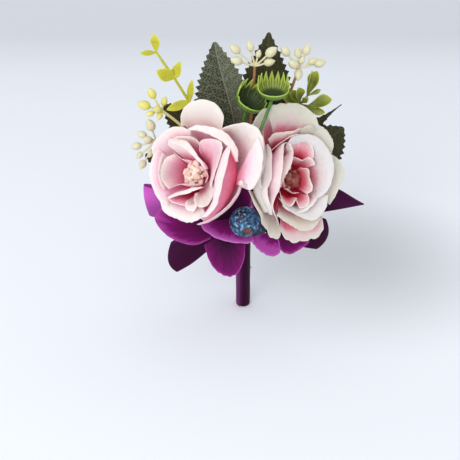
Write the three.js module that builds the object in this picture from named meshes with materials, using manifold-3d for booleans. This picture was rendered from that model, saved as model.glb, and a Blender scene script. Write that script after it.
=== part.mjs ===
// A buttonhole corsage: two cloth roses, serrated leaves, moulded sprigs, two blueberries, two purple
// florets and a satin bow, all wired into one ribbon-wrapped stem with a bar pin behind it.
// Millimetres. +Z runs up the stem and -Y faces the viewer. The origin is the middle of the bar
// pin's back face, which lies against the lapel.
import * as THREE from "three";
import { mergeVertices } from "three/addons/utils/BufferGeometryUtils.js";
import Module from "manifold-3d";

const wasm = await Module();
wasm.setup();

// Driving dimensions

const FIT = 0.3; // clearance between pieces that touch
const STEM_FOOT = -27; // lowest point of the wrapped stem
const STEM_TOP = 20; // where the ribbon wrap ends and the bow is tied
const WIRE_DIAMETER = 0.7; // each flower's taped wire
const WIRE_PITCH = 0.95; // spacing of the wires in the bundle
const TAPE_WALL = 0.2;
const WRAP_WALL = 0.25; // one thickness of the stem's satin ribbon
const WRAP_END = 0.8; // folded ribbon that closes the foot
const TIE_HEIGHT = 4.6; // ribbon band that holds the bow at the neck
const TIE_WALL = 0.6;
const TAPE_ABOVE_TIE = 1.5;
const BUNDLE_ABOVE_TAPE = 3; // straight wire above the tape, before the wires fan out

const PLATE_LENGTH = 26;
const PLATE_WIDTH = 5;
const PLATE_WALL = 0.9;
const PLATE_HOLE_DIAMETER = 2;
const PLATE_HOLE_SPACING = 13;
const NEEDLE_DIAMETER = 0.9;
const NEEDLE_HEIGHT = 5.4; // needle's axis above the plate's back face
const NEEDLE_POINT = 4; // length of the ground point
const HINGE_HEIGHT = 10.5; // hinge axis above the plate's middle
const RIVET_DIAMETER = 1.2;
const EAR_WALL = 0.7;
const EYE_WALL = 0.75; // metal round the needle's eye
const RUNNING_FIT = 0.1;
const CATCH_HEIGHT = -10; // middle of the catch below the plate's middle
const CATCH_LENGTH = 3;
const CATCH_BORE_DIAMETER = 4;
const CATCH_WALL = 0.8;
const CATCH_SLOT = 1.6; // gap that the needle passes through
const SLEEVE_BORE_DIAMETER = 1.7;
const SLEEVE_FLANGE = 0.6;
const LEVER_REACH = 4.4;

const PETAL_WALL = 0.45;
const LEAF_WALL = 0.5;
const RIBBON_WALL = 0.5;
const RIBBON_WIDTH = 15;
const RIBBON_PINCH = 4; // width where a loop is gathered at the neck

const STALK_DIAMETER = 1.5; // moulded stalk of a sprig
const BUD_STALK_DIAMETER = 0.84;
const SPRIG_LEAF_WALL = 0.8;
const BOWL_WALL = 0.6;

const ROSE_PETALS = 5; // in each layer
const PEG_DIAMETER = 2.4;
const LAYER_TURN = 47; // degrees from one petal layer to the next
const LAYER_GAP = 0.75; // free height between petal layers on the peg
const CALYX_DIAMETER = 7;
const CALYX_HEIGHT = 4.5;
const SOCKET_DEPTH = 3;
const POLLEN_DIAMETER = 2.1;
const BLUEBERRY_DIAMETER = 14;
const BACK_BLUEBERRY_DIAMETER = 12;
const FLORET_BEAD_DIAMETER = 3.4;
const FLORET_COLLAR_DIAMETER = 2.6;
const FLORET_COLLAR_HEIGHT = 1.4;

// Values worked out from the driving dimensions

const wireRadius = WIRE_DIAMETER / 2;
const bundleRadius = 2 * WIRE_PITCH + wireRadius;
const tapeBore = bundleRadius + FIT;
const tapeRadius = tapeBore + TAPE_WALL;
const wrapBore = tapeRadius + FIT;
const wrapRadius = wrapBore + 2 * WRAP_WALL; // where the ribbon laps itself
const tieBore = tapeRadius + FIT;
const tieRadius = tieBore + TIE_WALL;
const tieFoot = STEM_TOP + FIT;
const tieTop = tieFoot + TIE_HEIGHT;
const tapeTop = tieTop + TAPE_ABOVE_TIE;
const axisY = -(PLATE_WALL + FIT + wrapRadius); // the stem's axis, in front of the plate
const needleRadius = NEEDLE_DIAMETER / 2;
const rivetRadius = RIVET_DIAMETER / 2;
const layerStep = PETAL_WALL + LAYER_GAP;

// Materials

const finish = (color, roughness, metalness = 0) =>
  new THREE.MeshStandardMaterial({ color, roughness, metalness });
const rosePetal = finish(0xf2c3cd, 0.75);
const stamen = finish(0xe6bd8a, 0.8);
const calyxGreen = finish(0x55702f, 0.6);
const leafGreen = finish(0x39442f, 0.7);
const limeGreen = finish(0xb3bd2c, 0.45);
const creamBud = finish(0xefe9c4, 0.5);
const cupGreen = finish(0x4d8a2a, 0.4);
const oliveGreen = finish(0x8b9a35, 0.45);
const berryBlue = finish(0x2f4f7c, 0.55);
const purpleCloth = finish(0x6d0f72, 0.6);
const purpleSatin = finish(0x4a1147, 0.35);
const wireGreen = finish(0x5a6b3a, 0.7);
const tapeGreen = finish(0x4c5d35, 0.8);
const nickel = finish(0xc6c8cc, 0.3, 1);

// Shape helpers

const at = (x, y, z) => new THREE.Vector3(x, y, z);
const turn = (degrees) => THREE.MathUtils.degToRad(degrees);

// A closed geometry as a manifold solid, its shared corners merged.
function solidOf(geometry) {
  const bare = new THREE.BufferGeometry();
  bare.setAttribute("position", geometry.getAttribute("position"));
  bare.setIndex(geometry.index);
  const merged = mergeVertices(bare, 1e-4);
  const vertProperties = merged.attributes.position.array;
  const triVerts = new Uint32Array(merged.index.array);
  return new wasm.Manifold(new wasm.Mesh({ numProp: 3, vertProperties, triVerts }));
}

// A manifold solid as a three.js geometry.
function geometryOf(solid) {
  const mesh = solid.getMesh();
  const geometry = new THREE.BufferGeometry();
  geometry.setAttribute("position", new THREE.BufferAttribute(mesh.vertProperties, 3));
  geometry.setIndex(new THREE.BufferAttribute(mesh.triVerts, 1));
  geometry.computeVertexNormals();
  return geometry;
}

const joined = (geometries) =>
  geometryOf(geometries.map(solidOf).reduce((sum, next) => sum.add(next)));

// A thin closed body: the middle surface(u, v), with u and v from 0 to 1, given a wall along its
// normals. Where ring is true, u runs round the piece and meets itself.
function shell(surface, columns, rows, wall, ring = false) {
  const nudge = 1e-3;
  const width = ring ? columns : columns + 1;
  const positions = [];
  for (const side of [0.5, -0.5]) {
    for (let j = 0; j <= rows; j++) {
      for (let i = 0; i < width; i++) {
        const [u, v] = [i / columns, j / rows];
        const alongU = surface(u + nudge, v).sub(surface(u - nudge, v));
        const alongV = surface(u, v + nudge).sub(surface(u, v - nudge));
        const normal = alongU.cross(alongV).normalize();
        positions.push(...surface(u, v).addScaledVector(normal, side * wall));
      }
    }
  }
  const layer = width * (rows + 1);
  const index = [];
  const quad = (a, b, c, d) => index.push(a, b, c, a, c, d);
  for (let j = 0; j < rows; j++) {
    for (let i = 0; i < columns; i++) {
      const next = (i + 1) % width;
      const corners = [j * width + i, j * width + next, (j + 1) * width + next, (j + 1) * width + i];
      const [a, b, c, d] = corners;
      quad(a, b, c, d);
      quad(a + layer, d + layer, c + layer, b + layer);
      if (j === 0) quad(a + layer, b + layer, b, a);
      if (j === rows - 1) quad(d, c, c + layer, d + layer);
      if (!ring && i === 0) quad(d + layer, a + layer, a, d);
      if (!ring && i === columns - 1) quad(b + layer, c + layer, c, b);
    }
  }
  const geometry = new THREE.BufferGeometry();
  geometry.setAttribute("position", new THREE.Float32BufferAttribute(positions, 3));
  geometry.setIndex(index);
  geometry.computeVertexNormals();
  return geometry;
}

// A smooth route whose sections fall evenly between its own points, so that a straight run stays straight.
class Route extends THREE.CatmullRomCurve3 {
  getUtoTmapping(u) {
    return u;
  }
}

// A round section swept along a smooth route through the points.
function tube(points, radius, stepsPerSpan, sides = 4) {
  const corners = Array.from({ length: sides }, (_, k) => {
    const angle = (2 * Math.PI * k) / sides;
    return new THREE.Vector2(radius * Math.cos(angle), radius * Math.sin(angle));
  });
  const steps = stepsPerSpan * (points.length - 1);
  const options = { steps, bevelEnabled: false, extrudePath: new Route(points) };
  return new THREE.ExtrudeGeometry(new THREE.Shape(corners), options);
}

// The turn and place that carry a piece's own Y from base to tip, with its Z on the facing side.
function stance(base, tip, facing) {
  const along = tip.clone().sub(base).normalize();
  const across = along.clone().cross(facing).normalize();
  const outward = across.clone().cross(along);
  return new THREE.Matrix4().makeBasis(across, along, outward).setPosition(base);
}

// The turn and place that carry a piece's own Z along an axis from its foot.
function standing(foot, axis, spin = 0) {
  const turned = new THREE.Quaternion().setFromUnitVectors(at(0, 0, 1), axis.clone().normalize());
  turned.multiply(new THREE.Quaternion().setFromAxisAngle(at(0, 0, 1), turn(spin)));
  return new THREE.Matrix4().compose(foot, turned, at(1, 1, 1));
}

const corsage = new THREE.Group();

function add(name, geometry, material, parent = corsage) {
  const mesh = new THREE.Mesh(geometry, material);
  mesh.name = name;
  parent.add(mesh);
  return mesh;
}

function addPlaced(name, geometry, material, matrix) {
  const mesh = add(name, geometry, material);
  matrix.decompose(mesh.position, mesh.quaternion, mesh.scale);
}

// Stem: a bundle of wires, floral tape, the satin wrap and the bow's tie

// A wire's place in the bundle: ring 0 is the middle, ring 1 has six places and ring 2 has twelve.
function slotAt(ring, degrees, z) {
  const onCorner = degrees % 60 === 0;
  const radius = WIRE_PITCH * (ring === 2 && !onCorner ? Math.sqrt(3) : ring);
  return at(radius * Math.cos(turn(degrees)), axisY + radius * Math.sin(turn(degrees)), z);
}

const wireFoot = STEM_FOOT + WRAP_END + FIT;
const bundleTop = tapeTop + BUNDLE_ABOVE_TAPE;

// The straight run of a wire up the stem, which its free points then follow.
const upTheStem = (slot) =>
  [wireFoot, bundleTop - BUNDLE_ABOVE_TAPE / 2, bundleTop].map((z) => slotAt(...slot, z));

const wire = (slot, points) => tube([...upTheStem(slot), ...points], wireRadius, 2);

function ringOf(bore, radius, foot, top, sides = 18) {
  const corners = [
    [bore, foot],
    [radius, foot],
    [radius, top],
    [bore, top],
    [bore, foot],
  ];
  const profile = corners.map(([r, z]) => new THREE.Vector2(r, z));
  const ring = new THREE.LatheGeometry(profile, sides);
  return ring.rotateX(Math.PI / 2).translate(0, axisY, 0);
}

// The satin is rolled round the stem once and laps itself, so its outside steps at the lap.
function stemWrap() {
  const lapAt = 200;
  const sides = 24;
  const outline = Array.from({ length: sides + 1 }, (_, k) => {
    const angle = turn(lapAt + (360 * k) / sides);
    const radius = wrapBore + WRAP_WALL * (1 + k / sides);
    return new THREE.Vector2(radius * Math.cos(angle), radius * Math.sin(angle));
  });
  const closedEnd = new THREE.Shape(outline);
  const open = new THREE.Shape(outline);
  open.holes.push(new THREE.Path().absarc(0, 0, wrapBore, 0, 2 * Math.PI, true));
  const sleeveLength = STEM_TOP - STEM_FOOT;
  const sleeve = new THREE.ExtrudeGeometry(open, { depth: sleeveLength, bevelEnabled: false });
  const end = new THREE.ExtrudeGeometry(closedEnd, { depth: WRAP_END, bevelEnabled: false });
  return joined([sleeve, end]).translate(0, axisY, STEM_FOOT);
}

add("stem_ribbon_wrap", stemWrap(), purpleSatin);
add("stem_floral_tape", ringOf(tapeBore, tapeRadius, wireFoot, tapeTop), tapeGreen);
add("bow_tie_band", ringOf(tieBore, tieRadius, tieFoot, tieTop), purpleSatin);

// Bar pin: plate with hinge ears and catch housing, rivet, needle and turning catch

const pressed = (depth, curveSegments = 6) => ({ depth, curveSegments, bevelEnabled: false });

function roundBar(length, width) {
  const half = length / 2 - width / 2;
  const outline = new THREE.Shape();
  outline.absarc(half, 0, width / 2, -Math.PI / 2, Math.PI / 2, false);
  outline.absarc(-half, 0, width / 2, Math.PI / 2, (3 * Math.PI) / 2, false);
  return outline;
}

// A ring section, open towards +X by the slot's width, with its own Z along the ring's axis.
function slottedRing(bore, radius, length, slot) {
  const [inner, outer] = [Math.asin(slot / 2 / bore), Math.asin(slot / 2 / radius)];
  const outline = new THREE.Shape();
  outline.absarc(0, 0, radius, outer, 2 * Math.PI - outer, false);
  outline.absarc(0, 0, bore, 2 * Math.PI - inner, inner, true);
  return new THREE.ExtrudeGeometry(outline, pressed(length, 8)).translate(0, 0, -length / 2);
}

const eyeBore = rivetRadius + RUNNING_FIT;
const eyeRadius = eyeBore + EYE_WALL;
const earGap = NEEDLE_DIAMETER + 2 * FIT;
const earRadius = rivetRadius + RUNNING_FIT + EYE_WALL;
const catchBore = CATCH_BORE_DIAMETER / 2;
const catchRadius = catchBore + CATCH_WALL;
const toBack = new THREE.Matrix4().makeRotationZ(Math.PI / 2); // carries +X to +Y

function pinPlate() {
  const outline = roundBar(PLATE_LENGTH, PLATE_WIDTH);
  for (const side of [-0.5, 0.5]) {
    const hole = new THREE.Path();
    hole.absarc(side * PLATE_HOLE_SPACING, 0, PLATE_HOLE_DIAMETER / 2, 0, 2 * Math.PI, true);
    outline.holes.push(hole);
  }
  const plate = new THREE.ExtrudeGeometry(outline, pressed(PLATE_WALL));
  plate.rotateY(Math.PI / 2).rotateZ(Math.PI / 2).translate(0, -PLATE_WALL, 0);

  const earOutline = new THREE.Shape();
  earOutline.absarc(0, NEEDLE_HEIGHT, earRadius, 0, Math.PI, false);
  earOutline.lineTo(-earRadius, -PLATE_WALL / 2);
  earOutline.lineTo(earRadius, -PLATE_WALL / 2);
  const bore = new THREE.Path();
  bore.absarc(0, NEEDLE_HEIGHT, rivetRadius + RUNNING_FIT, 0, 2 * Math.PI, true);
  earOutline.holes.push(bore);
  const ears = [-1, 1].map((side) => {
    const ear = new THREE.ExtrudeGeometry(earOutline, pressed(EAR_WALL));
    ear.translate(0, 0, -EAR_WALL / 2).rotateY(Math.PI / 2);
    return ear.translate((side * (earGap + EAR_WALL)) / 2, 0, HINGE_HEIGHT);
  });

  const housing = slottedRing(catchBore, catchRadius, CATCH_LENGTH, CATCH_SLOT);
  housing.applyMatrix4(toBack).translate(0, NEEDLE_HEIGHT, CATCH_HEIGHT);
  const footReach = NEEDLE_HEIGHT - catchBore - CATCH_WALL / 2 + PLATE_WALL / 2;
  const foot = new THREE.BoxGeometry(2 * CATCH_WALL, footReach, CATCH_LENGTH);
  foot.translate(0, footReach / 2 - PLATE_WALL / 2, CATCH_HEIGHT);
  return joined([plate, ...ears, housing, foot]);
}

function pinNeedle() {
  const eyeOutline = new THREE.Shape().absarc(0, 0, eyeRadius, 0, 2 * Math.PI, false);
  eyeOutline.holes.push(new THREE.Path().absarc(0, 0, eyeBore, 0, 2 * Math.PI, true));
  const eye = new THREE.ExtrudeGeometry(eyeOutline, pressed(NEEDLE_DIAMETER));
  eye.translate(0, 0, -needleRadius).rotateY(Math.PI / 2);
  const reach = HINGE_HEIGHT - CATCH_HEIGHT + CATCH_LENGTH / 2 + SLEEVE_FLANGE;
  const profile = [
    [0, -eyeRadius + EYE_WALL / 2],
    [needleRadius, -eyeRadius + EYE_WALL / 2],
    [needleRadius, NEEDLE_POINT - reach],
    [0, -reach],
  ].map(([r, y]) => new THREE.Vector2(r, y));
  const shaft = new THREE.LatheGeometry(profile.reverse(), 10).rotateX(Math.PI / 2);
  return joined([eye, shaft]).translate(0, NEEDLE_HEIGHT, HINGE_HEIGHT);
}

function pinRivet() {
  const length = earGap + 2 * EAR_WALL + 2 * FIT;
  const shank = new THREE.CylinderGeometry(rivetRadius, rivetRadius, length, 12);
  const heads = [-1, 1].map((side) => {
    const head = new THREE.CylinderGeometry(earRadius * 0.8, earRadius * 0.8, EAR_WALL, 12);
    return head.translate(0, (side * (length + EAR_WALL)) / 2, 0);
  });
  return joined([shank, ...heads]).rotateZ(Math.PI / 2).translate(0, NEEDLE_HEIGHT, HINGE_HEIGHT);
}

// The turning sleeve inside the catch, with a flange at each end and a lever to turn it by.
function pinCatch() {
  const bore = SLEEVE_BORE_DIAMETER / 2;
  const span = CATCH_LENGTH + 2 * FIT;
  const sleeve = slottedRing(bore, catchBore - RUNNING_FIT, span + SLEEVE_FLANGE, CATCH_SLOT);
  const flanges = [-1, 1].map((side) => {
    const flange = slottedRing(bore, catchRadius, SLEEVE_FLANGE, CATCH_SLOT);
    return flange.translate(0, 0, (side * (span + SLEEVE_FLANGE)) / 2);
  });
  const lever = new THREE.BoxGeometry(LEVER_REACH - bore - CATCH_WALL, CATCH_WALL, SLEEVE_FLANGE);
  lever.translate((LEVER_REACH + bore + CATCH_WALL) / 2, 0, 0).rotateZ(-Math.PI / 2);
  lever.translate(0, 0, -(span + SLEEVE_FLANGE) / 2);
  return joined([sleeve, ...flanges, lever])
    .applyMatrix4(toBack)
    .translate(0, NEEDLE_HEIGHT, CATCH_HEIGHT);
}

add("pin_plate", pinPlate(), nickel);
add("pin_rivet", pinRivet(), nickel);
add("pin_needle", pinNeedle(), nickel);
add("pin_catch", pinCatch(), nickel);

// Roses: die-cut petal layers threaded on a calyx peg, with stamens on top

// One layer: a bowl profile carried round the axis, its rim cut into petals. Each petal leans in at
// one edge and out at the other, as overlapped petals do. A span under 360 degrees gives a part ring.
function petalLayer(shape) {
  const { petals, hole, belly, rim, height, notch } = shape;
  const { lean = 0.05, columns = 4, rows = 4, span = 360 } = shape;
  const foot = new THREE.Vector2(hole, 0);
  const low = new THREE.Vector2(belly, 0);
  const high = new THREE.Vector2(belly * 1.06, height * 0.6);
  const top = new THREE.Vector2(rim, height);
  const profile = new THREE.CubicBezierCurve(foot, low, high, top);
  const surface = (u, v) => {
    const share = (((u * petals) % 1) + 1) % 1;
    const reach = notch + (1 - notch) * (1 - Math.abs(2 * share - 1) ** 3);
    const spot = profile.getPoint(Math.max(0, v) * reach);
    const radius = spot.x * (1 - lean * v * Math.sin(2 * Math.PI * share));
    const angle = turn(span) * u;
    return at(radius * Math.cos(angle), radius * Math.sin(angle), spot.y);
  };
  return shell(surface, petals * columns, rows, PETAL_WALL, span === 360);
}

const pegRadius = PEG_DIAMETER / 2;
const layerHole = pegRadius + FIT;

// Green cup with five sepals, a socket for the wire below and the peg that carries the petals.
function calyx(layers) {
  const bore = wireRadius + FIT;
  const pegTop = CALYX_HEIGHT + FIT + layers * layerStep;
  const profile = [
    [0, SOCKET_DEPTH],
    [bore, SOCKET_DEPTH],
    [bore, 0],
    [bore + 0.8, 0],
    [CALYX_DIAMETER / 2, CALYX_HEIGHT * 0.55],
    [CALYX_DIAMETER / 2, CALYX_HEIGHT],
    [pegRadius, CALYX_HEIGHT],
    [pegRadius, pegTop],
    [0, pegTop],
  ].map(([r, z]) => new THREE.Vector2(r, z));
  const cup = new THREE.LatheGeometry(profile, 8).rotateX(Math.PI / 2);
  const sepals = petalLayer({
    petals: 5,
    hole: CALYX_DIAMETER / 2 - 0.6,
    belly: 6.2,
    rim: 8.6,
    height: 2.2,
    notch: 0.2,
    lean: 0,
    columns: 2,
    rows: 1,
  });
  return joined([cup, sepals.translate(0, 0, CALYX_HEIGHT * 0.45)]);
}

// A dome of pollen beads, each half sunk in the dome.
function stamens(beads, radius) {
  const beadRadius = POLLEN_DIAMETER / 2;
  const rise = (spread) => radius * (1.2 - 0.7 * (spread / radius) ** 2);
  const domeAt = (spread) => new THREE.Vector2(spread, rise(spread) - beadRadius * 0.4);
  const foot = radius * 0.5;
  const edge = radius * 0.95;
  const profile = [
    new THREE.Vector2(0, 0),
    new THREE.Vector2(foot, 0),
    domeAt(edge),
    domeAt(edge * 0.6),
    domeAt(0),
  ];
  const dome = new THREE.LatheGeometry(profile, 9).rotateX(Math.PI / 2);
  const goldenAngle = 137.5;
  const pollen = Array.from({ length: beads }, (_, k) => {
    const angle = turn(goldenAngle * k);
    const spread = edge * Math.sqrt((k + 0.5) / beads);
    const bead = new THREE.OctahedronGeometry(beadRadius, 0);
    return bead.translate(spread * Math.cos(angle), spread * Math.sin(angle), rise(spread));
  });
  return joined([dome, ...pollen]);
}

// A whole rose on its calyx foot. Its layers are listed from the heart outwards. A guard is a part
// ring of larger petals turned towards one side.
function rose(name, { foot, axis, layers, slot, path, beads, heart }) {
  const faces = axis.clone().normalize();
  const head = new THREE.Group();
  standing(foot, faces).decompose(head.position, head.quaternion, head.scale);
  corsage.add(head);
  const parts = Object.entries(layers);
  add(`${name}_calyx`, calyx(parts.length), calyxGreen, head);
  parts.forEach(([part, layer], k) => {
    const shape = petalLayer({ petals: ROSE_PETALS, hole: layerHole, ...layer });
    const petals = add(`${name}_${part}`, shape, rosePetal, head);
    const place = parts.length - 1 - k; // the outermost layer is threaded first
    petals.position.z = CALYX_HEIGHT + FIT + layerStep * (place + 0.25);
    petals.rotation.z = layer.towards ? guardTurn(head, layer) : turn(LAYER_TURN * k);
  });
  const pegTop = CALYX_HEIGHT + FIT + parts.length * layerStep;
  add(`${name}_stamens`, stamens(beads, heart), stamen, head).position.z = pegTop + FIT;
  const entry = [-4.5, -1.5, SOCKET_DEPTH - FIT].map((d) => foot.clone().addScaledVector(faces, d));
  add(`${name}_wire`, wire(slot, [...path, ...entry]), wireGreen);
}

// The turn that brings the middle of a guard's span to the side that it is turned towards.
function guardTurn(head, { towards, span }) {
  const side = towards.clone().applyQuaternion(head.quaternion.clone().invert());
  return Math.atan2(side.y, side.x) - turn(span) / 2;
}

rose("rose_left", {
  foot: at(-19, -9.6, 47.2),
  axis: at(-0.25, -0.83, 0.5),
  beads: 13,
  heart: 4.6,
  slot: [2, 210],
  path: [at(-7, -6.6, 37)],
  layers: {
    petals_1: { belly: 9, rim: 6.8, height: 13, notch: 0.5, rows: 3 },
    petals_2: { belly: 13.4, rim: 11.4, height: 16.5, notch: 0.5 },
    petals_3: { belly: 17, rim: 16, height: 19, notch: 0.48 },
    petals_4: { belly: 20.4, rim: 20.8, height: 18.5, notch: 0.42 },
    guard: {
      belly: 25.4,
      rim: 29.6,
      height: 21,
      notch: 0.5,
      lean: 0.02,
      columns: 5,
      petals: 2,
      span: 104,
      towards: at(0.68, 0.38, 0.65),
    },
  },
});

rose("rose_right", {
  foot: at(17.1, -9.3, 44),
  axis: at(0.26, -0.82, 0.5),
  beads: 13,
  heart: 4.6,
  slot: [2, 330],
  path: [at(7, -6.6, 35)],
  layers: {
    petals_1: { belly: 8.6, rim: 6.6, height: 11.8, notch: 0.5, rows: 3 },
    petals_2: { belly: 12.4, rim: 11, height: 15.2, notch: 0.5 },
    petals_3: { belly: 15.6, rim: 14.8, height: 17.4, notch: 0.48 },
    petals_4: { belly: 18.2, rim: 18.7, height: 17.6, notch: 0.45 },
    petals_5: { belly: 20.6, rim: 21, height: 14, notch: 0.4 },
    guard_upper: {
      belly: 27,
      rim: 31,
      height: 20,
      notch: 0.5,
      lean: 0.02,
      columns: 8,
      petals: 1,
      span: 78,
      towards: at(0.04, 0.5, 0.86),
    },
    guard_lower: {
      belly: 23.4,
      rim: 26.5,
      height: 13,
      notch: 0.5,
      lean: 0.02,
      columns: 5,
      petals: 2,
      span: 104,
      towards: at(0.3, -0.48, -0.83),
    },
  },
});

// Leaves: serrated cloth blades, each with a wire rib behind it

// A leaf lies along its own Y and faces its own Z, with a crease along the middle.
const CREASE = 0.06; // rise of the margin for each millimetre out from the middle
const DROOP = 0.03; // how far the tip falls back, as a share of the length

function leafBlade(length, width, teeth) {
  const tipWidth = 0.04;
  const toothDepth = 0.13;
  const surface = (u, v) => {
    const step = Math.floor(v * teeth + 1e-9);
    const share = v * teeth - step;
    const leaning = share < 0.5 ? share * 1.5 : 0.75 + (share - 0.5) * 0.5; // teeth point to the tip
    const along = THREE.MathUtils.clamp((step + leaning) / teeth, 0, 1);
    const tooth = share < 0.5 ? 2 * share : 2 - 2 * share;
    const swell = Math.sin(Math.PI * along ** 0.78) ** 0.8;
    const half = (width / 2) * (tipWidth + swell * (1 - toothDepth * (1 - tooth)));
    const across = (2 * u - 1) * half;
    return at(across, length * (step + leaning) / teeth, leafRise(across, length, along));
  };
  return shell(surface, 2, 2 * teeth, LEAF_WALL);
}

const leafRise = (across, length, along) => CREASE * Math.abs(across) - DROOP * length * along ** 2;

function leaf(name, { base, tip, facing, width, teeth, slot, path }) {
  const length = base.distanceTo(tip);
  const place = stance(base, tip, facing);
  addPlaced(name, leafBlade(length, width, teeth), leafGreen, place);
  const behind = LEAF_WALL / 2 + FIT + wireRadius;
  const rib = [0.03, 0.3, 0.62].map((along) =>
    at(0, length * along, leafRise(0, length, along) - behind).applyMatrix4(place),
  );
  add(`${name}_wire`, wire(slot, [...path, ...rib]), wireGreen);
}

leaf("leaf_tall_left", {
  base: at(-6, -3, 56),
  tip: at(-13.3, -2.6, 108.6),
  facing: at(0.02, -1, 0.1),
  width: 27,
  teeth: 12,
  slot: [2, 90],
  path: [at(-2.5, -2.4, 42)],
});
leaf("leaf_tall_right", {
  base: at(9, -1.6, 66),
  tip: at(10.4, -1.8, 112.8),
  facing: at(-0.06, -1, 0.05),
  width: 24,
  teeth: 11,
  slot: [2, 60],
  path: [at(3, -1.4, 44)],
});
leaf("leaf_left_upper", {
  base: at(-14, -1.5, 62),
  tip: at(-37, -1.3, 78.6),
  facing: at(0.06, -1, 0.05),
  width: 20,
  teeth: 8,
  slot: [2, 120],
  path: [at(-6, -1.8, 45)],
});
leaf("leaf_left_lower", {
  base: at(-18, -3, 46),
  tip: at(-46, -2.6, 54),
  facing: at(-0.1, -1, 0.05),
  width: 20,
  teeth: 8,
  slot: [2, 180],
  path: [at(-8.5, -3.4, 35)],
});
leaf("leaf_right_upper", {
  base: at(15, -3, 56),
  tip: at(42.5, -3.2, 80),
  facing: at(0.1, -1, 0.05),
  width: 14,
  teeth: 8,
  slot: [2, 30],
  path: [at(7, -2.4, 43)],
});
leaf("leaf_right_lower", {
  base: at(18, -1.6, 43),
  tip: at(47, -1.6, 62),
  facing: at(0.1, -1, 0.05),
  width: 23,
  teeth: 8,
  slot: [2, 0],
  path: [at(8.5, -2.6, 33)],
});

// Moulded sprigs: each is one plastic moulding on its own stalk

// A small thick plastic leaf; bluntness moves its widest part towards the tip.
function blade(base, tip, facing, width, bluntness) {
  const length = base.distanceTo(tip);
  const surface = (u, v) => {
    const along = THREE.MathUtils.clamp(v, 0, 1);
    const half = (width / 2) * (0.12 + 0.88 * Math.sin(Math.PI * along ** bluntness) ** 0.7);
    const across = (2 * u - 1) * half;
    return at(across, length * v, 0.25 * Math.abs(across) + 0.1 * length * along ** 2);
  };
  return shell(surface, 2, 3, SPRIG_LEAF_WALL).applyMatrix4(stance(base, tip, facing));
}

// A drop-shaped bud on a thin stalk from its hub.
function budOn(hub, tip, length, radius) {
  const along = tip.clone().sub(hub).normalize();
  const foot = tip.clone().addScaledVector(along, -length);
  const profile = [
    [0, 0],
    [radius * 0.9, length * 0.4],
    [radius * 0.85, length * 0.75],
    [0, length],
  ].map(([r, z]) => new THREE.Vector2(r, z));
  const bud = new THREE.LatheGeometry(profile, 5).rotateX(Math.PI / 2);
  bud.applyMatrix4(standing(foot, along));
  const inside = foot.clone().addScaledVector(along, length * 0.4);
  const behindHub = hub.clone().addScaledVector(along, -0.35);
  return [bud, tube([behindHub, inside], BUD_STALK_DIAMETER / 2, 1, 3)];
}

// A sprig's own stalk thickens where it leaves the other wires, at the first point of its path.
function sprig(name, material, slot, path, features) {
  const stalk = tube(path, STALK_DIAMETER / 2, 2, 5);
  const core = tube([...upTheStem(slot), path[0], path[0].clone().lerp(path[1], 0.1)], wireRadius, 2);
  add(name, joined([core, stalk, ...features]), material);
}

const limeNodes = [at(-24.9, -6, 82.6), at(-31.3, -6, 93.9), at(-38.7, -6, 105.7)];
const limeLeaf = (node, tip) => blade(node, tip, at(-0.3, -1, 0.3), 4.2, 1.1);
sprig("sprig_lime", limeGreen, [1, 120], [at(-10, -4.6, 54), at(-17, -5.4, 68), ...limeNodes], [
  limeLeaf(limeNodes[2], at(-39, -6, 114.4)),
  limeLeaf(limeNodes[2], at(-46, -9, 106.5)),
  limeLeaf(limeNodes[1], at(-39, -9, 99)),
  limeLeaf(limeNodes[1], at(-28, -6.5, 102)),
  limeLeaf(limeNodes[0], at(-23, -6.5, 93.6)),
  limeLeaf(limeNodes[0], at(-35, -8.5, 79.6)),
]);

// Buds on one hub, each given by its tip and its diameter.
const budsAround = (hub, tips) =>
  tips.flatMap(([x, y, z, size]) => budOn(hub, at(x, y, z), 1.55 * size, size / 2));

const leftHub = at(-37.1, -10, 80.2);
sprig("sprig_cream_left_upper", creamBud, [2, 150], [at(-15, -4.6, 52), at(-28, -6, 70), leftHub], [
  ...budsAround(leftHub, [
    [-42.5, -10, 91, 3.8],
    [-48, -12, 84.5, 4.4],
    [-35, -9, 86.5, 3],
    [-40, -15, 83, 3.4],
  ]),
]);

const lowHub = at(-40, -9.5, 65);
sprig("sprig_cream_left_lower", creamBud, [1, 180], [at(-19, -5.2, 50), at(-31, -6, 59), lowHub], [
  ...budsAround(lowHub, [
    [-43, -12.5, 77, 4.4],
    [-49, -10, 69.5, 3.6],
    [-46, -13, 67.5, 3.4],
    [-52, -10, 61.6, 3.6],
    [-48, -10.5, 51, 3.4],
  ]),
]);

const middleHub = at(4.4, -8, 100.4);
sprig("sprig_cream_middle", creamBud, [1, 60], [at(1.8, -5, 58), at(3.6, -4.9, 82), middleHub], [
  ...budsAround(middleHub, [
    [-6, -10, 109.5, 3.6],
    [-6.5, -12, 104.2, 4],
    [1.5, -8, 111.5, 3.4],
    [13, -10, 109.5, 4],
    [14.5, -10.5, 103.5, 3.4],
  ]),
]);

const rightHub = at(23.8, -6.4, 98.9);
sprig("sprig_cream_right", creamBud, [0, 0], [at(8.4, -5.4, 58), at(18, -5.6, 80), rightHub], [
  ...budsAround(rightHub, [
    [16.5, -6.4, 108, 3.6],
    [23, -6.4, 109, 3.6],
    [28.5, -6.4, 109.5, 3.6],
    [32, -6.4, 103, 3.2],
    [35.5, -6.6, 100.5, 3.8],
    [18.5, -10, 101.5, 4],
  ]),
]);

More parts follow.
